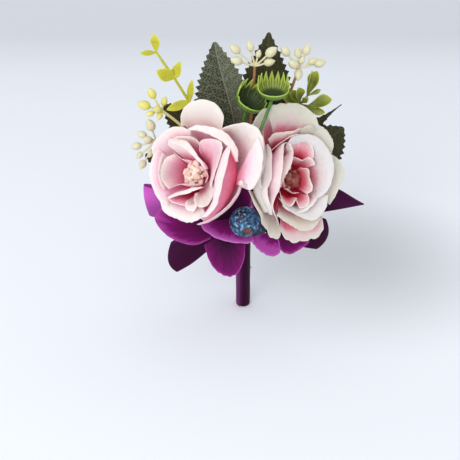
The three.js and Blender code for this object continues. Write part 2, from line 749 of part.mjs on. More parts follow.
const oliveHub = at(27.6, -10, 85);
const oliveLeaf = (tip, width = 4.4) => blade(oliveHub, tip, at(0.1, -1, 0.4), width, 1.7);
sprig("sprig_olive", oliveGreen, [1, 0], [at(12.4, -4.4, 50), at(22, -6, 72), oliveHub], [
  oliveLeaf(at(27.6, -9.2, 98.6)),
  oliveLeaf(at(32.6, -10, 98.4)),
  oliveLeaf(at(39, -13, 88.4), 5.4),
  oliveLeaf(at(23, -13.4, 92.8), 4.6),
  oliveLeaf(at(16.8, -10.6, 90)),
  oliveLeaf(at(34, -10.5, 80)),
]);

// Fringed cups: a bowl whose back rim is cut into long teeth, on its own stalk

function fringedBowl({ middle, opens, behind, radius, depth }) {
  const teeth = 7;
  const columns = 28;
  const smoothRim = 0.62;
  const profile = new THREE.CubicBezierCurve(
    new THREE.Vector2(0.5, 0),
    new THREE.Vector2(radius, 0),
    new THREE.Vector2(radius * 1.15, depth * 0.6),
    new THREE.Vector2(radius, depth * 1.5),
  );
  const surface = (u, v) => {
    const fromBack = Math.abs((((u % 1) + 1) % 1) - 0.5) * 2; // 0 at the back, 1 at the front
    const fringe = Math.max(0, 1 - fromBack * 1.7);
    const comb = Math.abs((((u - 0.5) * 2 * teeth) % 2) + 2) % 2;
    const tooth = Math.abs(comb - 1);
    const reach = smoothRim + (1 - smoothRim) * Math.min(1, 2.4 * fringe) * (0.25 + 0.75 * tooth);
    const spot = profile.getPoint(Math.max(0, v) * reach);
    const angle = 2 * Math.PI * u;
    return at(-spot.x * Math.sin(angle), -spot.x * Math.cos(angle), spot.y);
  };
  const bowl = shell(surface, columns, 2, BOWL_WALL, true);
  const place = new THREE.Matrix4().lookAt(opens, at(0, 0, 0), behind);
  return bowl.applyMatrix4(place.setPosition(middle));
}

function fringedCup(name, { slot, path, ...form }) {
  const heel = form.middle.clone().addScaledVector(form.opens.clone().normalize(), 0.4);
  sprig(name, cupGreen, slot, [...path, heel], [fringedBowl(form)]);
}

fringedCup("fringed_cup_left", {
  middle: at(0.9, -13, 82.8),
  opens: at(0.42, -0.2, 0.88),
  behind: at(-0.35, 0.9, 0),
  radius: 6.8,
  depth: 7,
  slot: [1, 240],
  path: [at(-1.2, -9.4, 50), at(-1.2, -12, 72)],
});
fringedCup("fringed_cup_right", {
  middle: at(11, -18, 88.4),
  opens: at(0.3, -0.08, 0.95),
  behind: at(-0.1, 1, 0),
  radius: 6.5,
  depth: 6.6,
  slot: [1, 300],
  path: [at(0.8, -10.6, 48), at(2.6, -14.6, 66), at(7, -16.8, 78)],
});

// Blueberries: foam balls with a crowned end, pushed on to one forked wire

function blueberry(diameter) {
  const radius = diameter / 2;
  const bore = wireRadius + FIT;
  const socket = SOCKET_DEPTH - radius;
  const points = [new THREE.Vector2(0, socket), new THREE.Vector2(bore, socket)];
  const rings = 6;
  const first = Math.asin(bore / radius);
  const crown = turn(160);
  for (let k = 0; k <= rings; k++) {
    const angle = first + ((crown - first) * k) / rings;
    points.push(new THREE.Vector2(radius * Math.sin(angle), -radius * Math.cos(angle)));
  }
  const lip = radius * Math.sin(crown);
  points.push(new THREE.Vector2(lip * 0.9, radius * 1.02));
  points.push(new THREE.Vector2(lip * 0.6, radius * 0.88));
  points.push(new THREE.Vector2(0, radius * 0.86));
  return new THREE.LatheGeometry(points, 12).rotateX(Math.PI / 2);
}

// The foot of a berry, where its wire goes in.
const berryFoot = (middle, crown, radius, depth) =>
  middle.clone().addScaledVector(crown.clone().normalize(), depth - radius);

const frontBerry = {
  middle: at(0.2, -30, 34.3),
  crown: at(0.15, -0.93, -0.34),
  diameter: BLUEBERRY_DIAMETER,
};
const backBerry = {
  middle: at(4.4, -14.4, 22),
  crown: at(0.3, -0.55, -0.78),
  diameter: BACK_BLUEBERRY_DIAMETER,
};
const berryFork = at(1.4, -11.6, 31);

for (const [name, berry] of [["blueberry_front", frontBerry], ["blueberry_back", backBerry]]) {
  addPlaced(name, blueberry(berry.diameter), berryBlue, standing(berry.middle, berry.crown));
}
const forkTo = ({ middle, crown, diameter }) =>
  [-4, -0.5, SOCKET_DEPTH - FIT].map((depth) => berryFoot(middle, crown, diameter / 2, depth));
add(
  "blueberry_wires",
  joined([
    wire([2, 270], [at(0.2, -8.6, 29), berryFork, ...forkTo(frontBerry)]),
    tube([berryFork, ...forkTo(backBerry)], wireRadius, 2),
  ]),
  wireGreen,
);

// Florets: four cloth petals held on their wire between a collar and a bead

function floret(name, { middle, axis, spin, radius, slot, path }) {
  const faces = axis.clone().normalize();
  const petals = petalLayer({
    petals: 4,
    hole: wireRadius + FIT,
    belly: radius * 0.75,
    rim: radius,
    height: radius * 0.16,
    notch: 0.34,
    lean: 0,
    columns: 5,
    rows: 3,
  });
  addPlaced(name, petals, purpleCloth, standing(middle, faces, spin));
  const onAxis = (d) => middle.clone().addScaledVector(faces, d);
  const clear = PETAL_WALL / 2 + FIT;
  const beadRadius = FLORET_BEAD_DIAMETER / 2;
  const bead = new THREE.SphereGeometry(beadRadius, 8, 5).translate(...onAxis(beadRadius + clear));
  const collarTop = FLORET_COLLAR_DIAMETER / 2;
  const collar = new THREE.CylinderGeometry(collarTop, WIRE_DIAMETER, FLORET_COLLAR_HEIGHT, 6);
  collar.rotateX(Math.PI / 2);
  collar.applyMatrix4(standing(onAxis(-clear - FLORET_COLLAR_HEIGHT / 2), faces));
  const stalk = wire(slot, [...path, onAxis(-5), onAxis(beadRadius)]);
  add(`${name}_wire`, joined([stalk, bead, collar]), wireGreen);
}

floret("floret_left", {
  middle: at(-12, -20.5, 23),
  axis: at(-0.05, -0.7, 0.7),
  spin: 27,
  radius: 20,
  slot: [2, 240],
  path: [at(-4.4, -9.4, 27)],
});
floret("floret_right", {
  middle: at(16.5, -18.5, 23.5),
  axis: at(0.1, -0.7, 0.7),
  spin: 5,
  radius: 13.5,
  slot: [2, 300],
  path: [at(4.8, -8.8, 27.4), at(9.6, -9.6, 25.4)],
});

// Bow: loops and tails of satin, gathered where the tie band holds them

// A ribbon follows its middle line, out from the neck, with its width square to the line.
function ribbon(points, widthWay, steps, ends = [RIBBON_PINCH, RIBBON_PINCH]) {
  const line = new THREE.CatmullRomCurve3(points);
  const surface = (u, v) => {
    const along = THREE.MathUtils.clamp(v, 0, 1);
    const opening = (share) => Math.min(1, Math.max(0, share) / 0.38) ** 0.7;
    const start = ends[0] + (RIBBON_WIDTH - ends[0]) * opening(along);
    const end = ends[1] + (RIBBON_WIDTH - ends[1]) * opening(1 - along);
    const width = Math.min(start, end);
    const spot = line.getPoint(along).addScaledVector(line.getTangent(along), (v - along) * 50);
    return spot.addScaledVector(widthWay, (u - 0.5) * width);
  };
  return shell(surface, 2, steps, RIBBON_WALL);
}

// The place beside the tie band, at an angle round it, where a gathered end is held.
function besideTie(degrees, z, stand) {
  const radius = tieRadius + FIT + stand;
  return at(radius * Math.cos(turn(degrees)), axisY + radius * Math.sin(turn(degrees)), z);
}

// A loop goes out along reach and back again, with its two runs a gape apart in front and behind.
function loop(name, { root, reach, gape, across }) {
  const widthWay = across.clone().normalize();
  const spot = (share, depth) => root.clone().addScaledVector(reach, share).add(at(0, depth, 0));
  const outward = [
    [0, 0.5 * (RIBBON_WALL + FIT)],
    [0.3, 0.4 * gape],
    [0.7, 0.5 * gape],
    [0.95, 0.36 * gape],
  ];
  const front = outward.map(([share, depth]) => spot(share, -depth));
  const back = outward.map(([share, depth]) => spot(share, depth)).reverse();
  add(name, ribbon([...front, spot(1, 0), ...back], widthWay, 16), purpleSatin);
}

loop("bow_loop_left", {
  root: besideTie(160, 23.2, 0.6),
  reach: at(-42, 1, 9.4),
  gape: 3.2,
  across: at(-0.12, 0, 1),
});
loop("bow_loop_lower_left", {
  root: besideTie(215, 22.2, 1.2),
  reach: at(-31.5, -1, -19.8),
  gape: 3.4,
  across: at(-0.15, 0, 1),
});
loop("bow_loop_lower_right", {
  root: besideTie(330, 22, 0.6),
  reach: at(35.5, -1, -7),
  gape: 3.4,
  across: at(0.22, 0, 1),
});
loop("bow_loop_upper", {
  root: besideTie(90, 23.4, 1),
  reach: at(0.5, 0, 17),
  gape: 1.6,
  across: at(-1, 0, 0),
});

const tailRoot = besideTie(22, 23.4, 0.4);
const tailLine = [tailRoot, at(18, -2, 27.3), at(38, -1.6, 31.3), at(57.4, -2.4, 28.4)];
const tailPoint = 1.2; // the tail is cut to a point
const tailWay = at(-0.12, 0, 1).normalize();
add("bow_tail_right", ribbon(tailLine, tailWay, 10, [RIBBON_PINCH, tailPoint]), purpleSatin);

export default corsage;
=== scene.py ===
"""Looks of a buttonhole corsage: cloth roses, printed leaves, moulded sprigs, berries and a satin bow.

Shapes are worked out in millimetres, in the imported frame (+Z up the stem, -Y to the viewer), and put
into the meshes in metres. Every surface is a grid of points given by a formula of two parameters.
"""

import bmesh
import bpy
import numpy as np
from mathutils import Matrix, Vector


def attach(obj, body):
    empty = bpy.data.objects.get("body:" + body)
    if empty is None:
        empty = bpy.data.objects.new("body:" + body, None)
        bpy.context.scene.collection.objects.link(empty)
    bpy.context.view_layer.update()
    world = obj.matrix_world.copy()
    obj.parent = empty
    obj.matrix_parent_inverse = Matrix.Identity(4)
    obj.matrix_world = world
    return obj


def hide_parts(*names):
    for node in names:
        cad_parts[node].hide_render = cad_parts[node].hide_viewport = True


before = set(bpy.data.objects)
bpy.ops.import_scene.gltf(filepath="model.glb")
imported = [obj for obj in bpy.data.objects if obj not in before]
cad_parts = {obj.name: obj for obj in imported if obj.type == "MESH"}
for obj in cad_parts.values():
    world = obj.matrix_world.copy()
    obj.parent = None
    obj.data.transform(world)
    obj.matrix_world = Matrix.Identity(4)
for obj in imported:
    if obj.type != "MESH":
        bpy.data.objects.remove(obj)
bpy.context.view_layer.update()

MM = 0.001
SEED = 11

# Sizes shared with the solids, in millimetres

STEM_FOOT = -27.0
STEM_TOP = 20.0
STEM_Y = -4.75
WIRE_RADIUS = 0.35
WIRE_PITCH = 0.95
WIRE_FOOT = -25.9
BUNDLE_TOP = 29.4
TAPE_RADIUS = 2.75
TAPE_TOP = 26.4
WRAP_BORE = 3.05
WRAP_WALL = 0.25
TIE_FOOT = 20.3
TIE_TOP = 24.9
TIE_RADIUS = 3.65
RIBBON_WIDTH = 16.2
RIBBON_PINCH = 4.0
CLOTH_WALL = 0.16
SATIN_WALL = 0.25
LAYER_STEP = 1.2
PEG_FOOT = 4.8
PEG_HOLE = 1.5


# Vectors and curves


def unit(v):
    """A vector of length one."""
    v = np.asarray(v, float)
    return v / np.linalg.norm(v)


def facing_frame(axis, up=(0, 0, 1)):
    """Columns right, up and axis, for a piece that faces along axis."""
    out = unit(axis)
    right = unit(np.cross(up, out))
    return np.stack([right, np.cross(out, right), out], axis=1)


def stance(base, tip, facing):
    """Columns across, along and outward, for a blade that runs from base to tip."""
    along = unit(np.subtract(tip, base))
    across = unit(np.cross(along, facing))
    return np.stack([across, along, np.cross(across, along)], axis=1)


def ease(x):
    """0 below 0, 1 above 1, and a smooth cubic between."""
    x = np.clip(x, 0, 1)
    return x * x * (3 - 2 * x)


def smooth_path(points, count):
    """A Catmull-Rom line through the points, at count even steps of its parameter."""
    p = np.asarray(points, float)
    q = np.vstack([2 * p[0] - p[1], p, 2 * p[-1] - p[-2]])
    t = np.linspace(0, len(p) - 1, count)
    k = np.minimum(t.astype(int), len(p) - 2)
    f = (t - k)[:, None]
    a, b, c, d = q[k], q[k + 1], q[k + 2], q[k + 3]
    cubic = (3 * b - a - 3 * c + d) * f**3 + (2 * a - 5 * b + 4 * c - d) * f**2
    return 0.5 * (cubic + (c - a) * f + 2 * b)


def ripple(x, rng, waves, lowest, highest):
    """A sum of sines of seeded frequencies and phases, about -1 to 1."""
    total = 0 * x
    for _ in range(waves):
        total = total + np.sin(rng.uniform(lowest, highest) * x + rng.uniform(0, 2 * np.pi))
    return total / waves


def turns(count):
    """A row of even bearings once round, in radians."""
    return np.linspace(0, 2 * np.pi, count, endpoint=False)[None, :]


def grid_of(x, y, z):
    """Points from three arrays, spread to one grid."""
    return np.stack(np.broadcast_arrays(x, y, z), axis=-1)


# Meshes from grids


def patch(points, uv=None, ring=False, **marks):
    """One grid of points in millimetres, with its flat coordinates and its painted marks."""
    points = np.asarray(points, float)
    shape = points.shape[:2]
    flat = np.zeros(shape + (2,)) if uv is None else np.stack(np.broadcast_arrays(*uv), axis=-1)
    painted = {key: np.broadcast_to(value, shape) for key, value in marks.items()}
    return {"points": points, "uv": flat, "ring": ring, "marks": painted}


def quads(rows, cols, ring):
    """Corner numbers of a grid's faces; a ring's last column meets its first."""
    wide = cols if ring else cols - 1
    r, c = np.meshgrid(np.arange(rows - 1), np.arange(wide), indexing="ij")
    near = r * cols + c
    far = r * cols + (c + 1) % cols
    return np.stack([near, far, far + cols, near + cols], axis=-1).reshape(-1, 4)


MARKS = ("depth", "rim", "tone")


def build(name, patches, paint, nodes, wall=0.0, closed=False, lining=None):
    """One piece from its patches. A wall makes a sheet of that thickness, with a lining of another
    paint on the side away from its normals, and closed merges its poles."""
    starts = np.cumsum([0] + [p["points"].shape[0] * p["points"].shape[1] for p in patches])
    spots = np.concatenate([p["points"].reshape(-1, 3) for p in patches]) * MM
    flat = np.concatenate([p["uv"].reshape(-1, 2) for p in patches])
    faces = [quads(*p["points"].shape[:2], p["ring"]) + s for p, s in zip(patches, starts)]
    corners = np.concatenate(faces)
    mesh = bpy.data.meshes.new(name)
    mesh.from_pydata(spots.tolist(), [], corners.tolist())
    mesh.uv_layers.new(name="cut").data.foreach_set("uv", flat[corners.ravel()].ravel())
    for key in MARKS:
        painted = [p["marks"].get(key, np.zeros(p["points"].shape[:2])) for p in patches]
        values = np.concatenate([grid.ravel() for grid in painted]).astype(np.float32)
        mesh.attributes.new(key, "FLOAT", "POINT").data.foreach_set("value", values)
    if closed:
        shell = bmesh.new()
        shell.from_mesh(mesh)
        bmesh.ops.remove_doubles(shell, verts=shell.verts, dist=1e-6)
        bmesh.ops.recalc_face_normals(shell, faces=shell.faces)
        shell.to_mesh(mesh)
        shell.free()
    mesh.polygons.foreach_set("use_smooth", np.ones(len(mesh.polygons), bool))
    mesh.materials.append(paint)
    piece = bpy.data.objects.new(name, mesh)
    bpy.context.scene.collection.objects.link(piece)
    if wall:
        thick = piece.modifiers.new("wall", "SOLIDIFY")
        thick.thickness = wall * MM
        thick.offset = 0
        if lining:
            mesh.materials.append(lining)
            thick.material_offset = 1
    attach(piece, "corsage")
    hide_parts(*nodes)
    return piece


def set_down(grid, place, foot):
    """A patch made in a piece's own frame, put into the part's."""
    return {**grid, "points": grid["points"] @ place.T + np.asarray(foot)}


SKEW = unit((0.6, 0.64, -0.48))


def tube(path, radius, sides=10, **marks):
    """A round section of the given radii carried along a path, with both ends drawn to a point."""
    path = np.asarray(path, float)
    radius = np.broadcast_to(radius, len(path)).astype(float)
    way = np.gradient(path, axis=0)
    path, way = (np.vstack([line[:1], line, line[-1:]]) for line in (path, way))
    radius = np.concatenate([[0], radius, [0]])
    way = way / np.linalg.norm(way, axis=1, keepdims=True)
    side = np.cross(way, SKEW)
    side = side / np.linalg.norm(side, axis=1, keepdims=True)
    over = np.cross(way, side)
    a = turns(sides)[0]
    round_it = side[:, None] * np.cos(a)[:, None] + over[:, None] * np.sin(a)[:, None]
    points = path[:, None] + radius[:, None, None] * round_it
    length = np.linspace(0, 1, len(path))[:, None]
    uv = (np.broadcast_to(a / (2 * np.pi), points.shape[:2]), length)
    return patch(points, uv, ring=True, **{"depth": length, **marks})


def lathe(profile, place, foot, sides=24, lobes=None, **marks):
    """A profile of (radius, height) turned about its own third axis; lobes scales the radius."""
    profile = np.asarray(profile, float)
    a = turns(sides)
    share = np.linspace(0, 1, len(profile))[:, None]
    r = profile[:, :1] * (1 if lobes is None else lobes(a, share))
    local = grid_of(r * np.cos(a), r * np.sin(a), profile[:, 1:])
    return patch(local @ place.T + np.asarray(foot), (a, share), ring=True, **{"depth": share, **marks})


# Paints: node trees and shared groups first

BLACK = (0, 0, 0)
WHITE = (255, 255, 255)
VEIN_PITCH = 5.4
VEIN_SLANT = 0.85


def ink(red, green, blue):
    """A colour given in screen bytes, as linear light."""
    c = np.array([red, green, blue]) / 255
    linear = np.where(c <= 0.04045, c / 12.92, ((c + 0.055) / 1.055) ** 2.4)
    return (*linear.tolist(), 1.0)


class Graph:
    """A tree of shader nodes, with short ways to add to it."""

    def __init__(self, tree):
        self.tree = tree

    def feed(self, socket, value):
        """A socket's input: a link from another socket, or a constant."""
        if isinstance(value, bpy.types.NodeSocket):
            self.tree.links.new(value, socket)
        else:
            socket.default_value = value

    def node(self, kind, settings=None, **inputs):
        """A node with its settings and inputs, each named or, as an i and a number, counted."""
        made = self.tree.nodes.new(kind)
        for key, value in (settings or {}).items():
            setattr(made, key, value)
        for key, value in inputs.items():
            place = int(key[1:]) if key[1:].isdigit() else key.replace("_", " ")
            self.feed(made.inputs[place], value)
        return made

    def math(self, operation, *values, clamp=False):
        """A Math node's result."""
        made = self.node("ShaderNodeMath", {"operation": operation, "use_clamp": clamp})
        for socket, value in zip(made.inputs, values):
            self.feed(socket, value)
        return made.outputs[0]

    def mix(self, share, a, b):
        """Two colours mixed by a share."""
        return self.node("ShaderNodeMix", {"data_type": "RGBA"}, i0=share, i6=a, i7=b).outputs[2]


def new_group(name, inputs, outputs):
    """A node group with named sockets, the inputs as (name, kind, value), and its two sets of sockets."""
    group = bpy.data.node_groups.new(name, "ShaderNodeTree")
    for label, kind, value in inputs:
        socket = group.interface.new_socket(label, in_out="INPUT", socket_type=f"NodeSocket{kind}")
        if value is not None:
            socket.default_value = value
    for label, kind in outputs:
        group.interface.new_socket(label, in_out="OUTPUT", socket_type=f"NodeSocket{kind}")
    given = group.nodes.new("NodeGroupInput").outputs
    return Graph(group), given, group.nodes.new("NodeGroupOutput").inputs


def mottle_group():
    """Two sizes of noise that move a colour between a low and a high tint."""
    inputs = [("Vector", "Vector", None), ("Scale", "Float", 1.0), ("Contrast", "Float", 1.0)]
    inputs += [("Low", "Color", (0, 0, 0, 1)), ("High", "Color", (1, 1, 1, 1))]
    g, given, out = new_group("mottle", inputs, [("Color", "Color"), ("Share", "Float")])
    broad = g.node("ShaderNodeTexNoise", Vector=given["Vector"], Scale=given["Scale"], Detail=3.0)
    finer = g.math("MULTIPLY", given["Scale"], 4.3)
    small = g.node("ShaderNodeTexNoise", Vector=given["Vector"], Scale=finer, Detail=2.0)
    both = g.math("MULTIPLY_ADD", small.outputs[0], 0.45, g.math("MULTIPLY", broad.outputs[0], 0.55))
    centred = g.math("SUBTRACT", both, 0.5)
    spread = g.math("MULTIPLY", centred, g.math("MULTIPLY", given["Contrast"], 3.0))
    share = g.math("ADD", spread, 0.5, clamp=True)
    g.feed(out["Color"], g.mix(share, given["Low"], given["High"]))
    g.feed(out["Share"], share)
    return g.tree


def weave_group():
    """Over-and-under threads of a plain weave, on flat coordinates in millimetres."""
    inputs = [("Vector", "Vector", None), ("Pitch", "Float", 0.4), ("Ribbing", "Float", 1.0)]
    g, given, out = new_group("weave", inputs, [("Height", "Float")])
    parts = g.node("ShaderNodeSeparateXYZ", i0=given["Vector"]).outputs
    turn = g.math("DIVIDE", 2 * np.pi, given["Pitch"])
    warp = g.math("SINE", g.math("MULTIPLY", parts[0], turn))
    weft = g.math("SINE", g.math("MULTIPLY", parts[1], turn))
    ribbed = g.math("MULTIPLY", weft, given["Ribbing"])
    g.feed(out["Height"], g.math("ADD", g.math("MULTIPLY", warp, weft), ribbed))
    return g.tree


def grain_group():
    """Fine moulding grain with a little unevenness of gloss."""
    inputs = [("Vector", "Vector", None), ("Scale", "Float", 1.0), ("Rough", "Float", 0.45)]
    g, given, out = new_group("moulding_grain", inputs, [("Height", "Float"), ("Roughness", "Float")])
    fine = g.node("ShaderNodeTexNoise", Vector=given["Vector"], Scale=given["Scale"], Detail=4.0).outputs[0]
    g.feed(out["Height"], fine)
    g.feed(out["Roughness"], g.math("MULTIPLY_ADD", fine, 0.3, g.math("SUBTRACT", given["Rough"], 0.15)))
    return g.tree


MOTTLE = mottle_group()
WEAVE = weave_group()
GRAIN = grain_group()


class Paint(Graph):
    """A material with its Principled shader and the coordinates and marks that its nodes read."""

    def __init__(self, name, **values):
        self.material = bpy.data.materials.new(name)
        self.material.use_nodes = True
        super().__init__(self.material.node_tree)
        self.shader = self.tree.nodes["Principled BSDF"]
        for key, value in values.items():
            self.shader.inputs[key.replace("_", " ")].default_value = value
        spot = self.node("ShaderNodeTexCoord").outputs["Object"]
        in_mm = self.node("ShaderNodeVectorMath", {"operation": "SCALE"}, i0=spot, Scale=1 / MM)
        self.place = in_mm.outputs[0]
        self.cut = self.node("ShaderNodeUVMap", {"uv_map": "cut"}).outputs[0]

    def mark(self, name):
        """One of the painted marks that the mesh carries."""
        return self.node("ShaderNodeAttribute", {"attribute_name": name}).outputs["Fac"]

    def group(self, group, **inputs):
        """One of the shared groups, placed with its own values."""
        return self.node("ShaderNodeGroup", {"node_tree": group}, **inputs).outputs

    def mottled(self, vector, scale, contrast, low, high):
        """The shared mottle between two tints, as its colour and its share."""
        tints = {"Low": ink(*low), "High": ink(*high)}
        return self.group(MOTTLE, Vector=vector, Scale=scale, Contrast=contrast, **tints)

    def woven(self, pitch, ribbing):
        """The height of the shared weave, on the flat coordinates."""
        return self.group(WEAVE, Vector=self.cut, Pitch=pitch, Ribbing=ribbing)["Height"]

    def grained(self, scale, rough):
        """The shared moulding grain, as its height and its roughness."""
        return self.group(GRAIN, Vector=self.place, Scale=scale, Rough=rough)

    def scaled(self, vector, *scale):
        """Coordinates with a scale of their own along each axis."""
        return self.node("ShaderNodeMapping", Vector=vector, Scale=scale).outputs[0]

    def noise(self, scale, detail=3.0, vector=None):
        """Plain noise at a scale of cycles for each millimetre."""
        where = self.place if vector is None else vector
        return self.node("ShaderNodeTexNoise", Vector=where, Scale=scale, Detail=detail).outputs[0]

    def ramp(self, share, stops):
        """A colour ramp given as (place, screen bytes), its two ends first."""
        made = self.node("ShaderNodeValToRGB", i0=share)
        bar = made.color_ramp.elements
        for k, (place, colour) in enumerate(stops):
            stop = bar[k] if k < 2 else bar.new(place)
            stop.position = place
            stop.color = ink(*colour)
        return made.outputs[0]

    def coat(self, colour, height=None, strength=0.0, depth=0.0, rough=None):
        """The finished material: its colour, its bumps' height and, where it varies, its roughness."""
        self.feed(self.shader.inputs["Base Color"], colour)
        if rough is not None:
            self.feed(self.shader.inputs["Roughness"], rough)
        if height is not None:
            bump = self.node("ShaderNodeBump", Strength=strength, Distance=depth, Height=height)
            self.feed(self.shader.inputs["Normal"], bump.outputs[0])
        return self.material


def rose_cloth(name, shades, places):
    """Dyed polyester: four shades from the petal's foot to its cut edge, clouded, with a fine weave and
    long soft pleats. The darker, greyer sets made for the right rose's outer layers partly paint shade."""
    p = Paint(f"rose_cloth_{name}", Roughness=0.85, Specular_IOR_Level=0.2, Subsurface_Weight=0.7,
              Subsurface_Scale=0.0012, Subsurface_Radius=(1.0, 0.95, 0.95))
    cloudy = p.math("MULTIPLY_ADD", p.noise(0.16), 0.3, p.math("ADD", p.mark("depth"), -0.15))
    toned = p.math("ADD", cloudy, p.mark("tone"), clamp=True)
    foot, low, high, edge = zip(places, shades)
    body = p.ramp(toned, [foot, edge, low, high])
    colour = p.mix(p.math("MULTIPLY", p.mark("rim"), 0.6), body, ink(*shades[3]))
    pleats = p.noise(1.0, 2.0, p.scaled(p.cut, 0.9, 0.07, 1.0))
    height = p.math("MULTIPLY_ADD", p.woven(0.32, 0.4), 0.12, p.math("MULTIPLY", pleats, 3.0))
    return p.coat(colour, height, 0.35, 0.0003)


def leaf_print(name, low, high, vein):
    """Printed cloth: a midrib, slanting side veins and a fine pale net, on the flat coordinates."""
    p = Paint(f"leaf_print_{name}", Roughness=0.75, Specular_IOR_Level=0.15, Sheen_Weight=0.05,
              Sheen_Roughness=0.5)
    across, along, _ = p.node("ShaderNodeSeparateXYZ", i0=p.cut).outputs
    out = p.math("ABSOLUTE", across)
    wander = p.math("MULTIPLY", p.math("SUBTRACT", p.noise(0.35, 2.0, p.cut), 0.5), 1.6)
    slant = p.math("SUBTRACT", along, p.math("MULTIPLY", out, VEIN_SLANT))
    lane = p.math("FRACT", p.math("DIVIDE", p.math("ADD", slant, wander), VEIN_PITCH))
    beside = p.math("MULTIPLY", p.math("ABSOLUTE", p.math("SUBTRACT", lane, 0.5)), VEIN_PITCH)
    side_vein = p.math("SUBTRACT", 1.0, p.math("MULTIPLY", beside, 3.4), clamp=True)
    rib = p.math("SUBTRACT", 1.0, p.math("MULTIPLY", out, 2.4), clamp=True)
    cells = {"feature": "DISTANCE_TO_EDGE"}
    net = p.node("ShaderNodeTexVoronoi", cells, Vector=p.cut, Scale=1.0).outputs["Distance"]
    net = p.math("SUBTRACT", 0.66, p.math("MULTIPLY", net, 5.5), clamp=True)
    faint = p.math("MULTIPLY", side_vein, 0.6)
    veins = p.math("MAXIMUM", p.math("MAXIMUM", rib, faint), net)
    ground = p.mottled(p.cut, 0.3, 0.8, low, high)
    # Painted highlight: the tone mark pales one half of the blade towards the vein colour.
    half = p.mix(p.mark("tone"), ground["Color"], ink(*vein))
    return p.coat(p.mix(p.math("MULTIPLY", veins, 0.62), half, ink(*vein)), veins, 0.45, 0.00025)


def moulded(name, low, high, tip, rough=0.42):
    """Coloured plastic: mottled along the stalk, paler towards the tips, with a fine grain."""
    p = Paint(f"{name}_plastic", Specular_IOR_Level=0.45, Subsurface_Weight=0.08, Subsurface_Scale=0.002)
    ground = p.mottled(p.place, 0.22, 0.7, low, high)
    skin = p.grained(2.2, rough)
    colour = p.mix(p.mark("tone"), ground["Color"], ink(*tip))
    return p.coat(colour, skin["Height"], 0.18, 0.0002, skin["Roughness"])


def berry_foam():
    """Painted foam: a dark ground under patches of blue bloom, with a brown scar at the crown. The depth mark
    greys and darkens it as painted shade, for the berry that sits behind.
    """
    p = Paint("berry_foam", Specular_IOR_Level=0.4)
    bloom = p.mottled(p.place, 0.24, 3.0, (12, 19, 40), (46, 102, 152))
    specks = p.ramp(p.noise(0.72), [(0.55, BLACK), (0.64, WHITE)])
    pale = p.mix(p.math("MULTIPLY", specks, 0.8), bloom["Color"], ink(150, 194, 220))
    dark = p.ramp(p.noise(0.62), [(0.43, WHITE), (0.52, BLACK)])
    ground = p.mix(p.math("MULTIPLY", dark, 0.92), pale, ink(20, 27, 46))
    # Painted shade: the depth mark greys and darkens the colour.
    shaded_ground = p.mix(p.math("MULTIPLY", p.mark("depth"), 0.7), ground, ink(44, 54, 70))
    scar = p.mottled(p.place, 0.8, 1.0, (60, 30, 22), (136, 76, 48))
    skin = p.grained(1.6, 0.5)
    colour = p.mix(p.mark("tone"), shaded_ground, scar["Color"])
    return p.coat(colour, skin["Height"], 0.5, 0.0004, skin["Roughness"])


def floret_cloth():
    """Matt purple cloth: dark at the throat, streaked outwards, pale along the cut edge."""
    p = Paint("floret_cloth", Roughness=0.75, Specular_IOR_Level=0.15, Sheen_Weight=0.04, Sheen_Roughness=0.4)
    streaks = p.noise(1.0, 2.0, p.scaled(p.cut, 0.42, 0.09, 1.0))
    swing = p.math("MULTIPLY_ADD", streaks, 0.5, p.math("SUBTRACT", p.mark("depth"), 0.25))
    toned = p.math("ADD", swing, p.mark("tone"), clamp=True)
    ends = [(0.0, (44, 2, 38)), (1.0, (170, 68, 160))]
    body = p.ramp(toned, ends + [(0.55, (100, 8, 84)), (0.78, (122, 16, 104))])
    colour = p.mix(p.math("MULTIPLY", p.mark("rim"), 0.75), body, ink(206, 128, 200))
    crumple = p.math("MULTIPLY", p.noise(0.22), 6.0)
    return p.coat(colour, p.math("ADD", crumple, p.woven(0.3, 0.3)), 0.25, 0.0003)


def satin():
    """Plum satin ribbon: long floats across the width that catch the light, a painted highlight where the
    tone mark mixes in a lighter tint, and a firm woven edge.
    """
    p = Paint("plum_satin", Anisotropic=0.5, Specular_IOR_Level=0.12, Specular_Tint=ink(250, 190, 250))
    ground = p.mottled(p.scaled(p.cut, 0.12, 2.4, 1.0), 0.8, 0.7, (36, 3, 25), (52, 5, 38))
    # Painted highlight: the tone mark carries each piece's painted sheen and light.
    lit = p.mix(p.mark("tone"), ground["Color"], ink(200, 94, 192))
    colour = p.mix(p.math("MULTIPLY", p.mark("rim"), 0.3), lit, ink(140, 56, 140))
    rough = p.math("MULTIPLY_ADD", ground["Share"], 0.12, 0.3)
    return p.coat(colour, p.woven(0.26, 1.6), 0.1, 0.0002, rough)


def wrapped(name, low, high, rough):
    """Crepe paper or taped wire: fine lines round the piece over an uneven colour."""
    p = Paint(name, Specular_IOR_Level=0.3)
    ground = p.mottled(p.place, 0.5, 0.9, low, high)
    lines = p.node("ShaderNodeTexWave", {"bands_direction": "Z"}, Vector=p.place, Scale=1.1, Distortion=3.0)
    return p.coat(ground["Color"], lines.outputs["Fac"], 0.5, 0.0002, p.grained(1.5, rough)["Roughness"])


def nickel_plate():
    """Bright nickel with fine rubbed lines that vary its gloss, over a mottled colour."""
    p = Paint("nickel_plate", Metallic=1.0)
    ground = p.mottled(p.place, 0.4, 0.6, (176, 176, 180), (214, 214, 216))
    lines = p.noise(1.0, 3.0, p.scaled(p.place, 9.0, 9.0, 0.7))
    return p.coat(ground["Color"], lines, 0.06, 0.0001, p.math("MULTIPLY_ADD", lines, 0.2, 0.14))


def pollen_paint():
    """Grainy cream beads, browner between them."""
    p = Paint("stamen_grain", Specular_IOR_Level=0.3, Subsurface_Weight=0.1, Subsurface_Scale=0.001)
    ground = p.mottled(p.place, 0.7, 1.0, (248, 222, 200), (254, 240, 230))
    skin = p.grained(2.6, 0.75)
    colour = p.mix(p.mark("tone"), ground["Color"], ink(132, 56, 48))
    return p.coat(colour, skin["Height"], 0.6, 0.0003, skin["Roughness"])


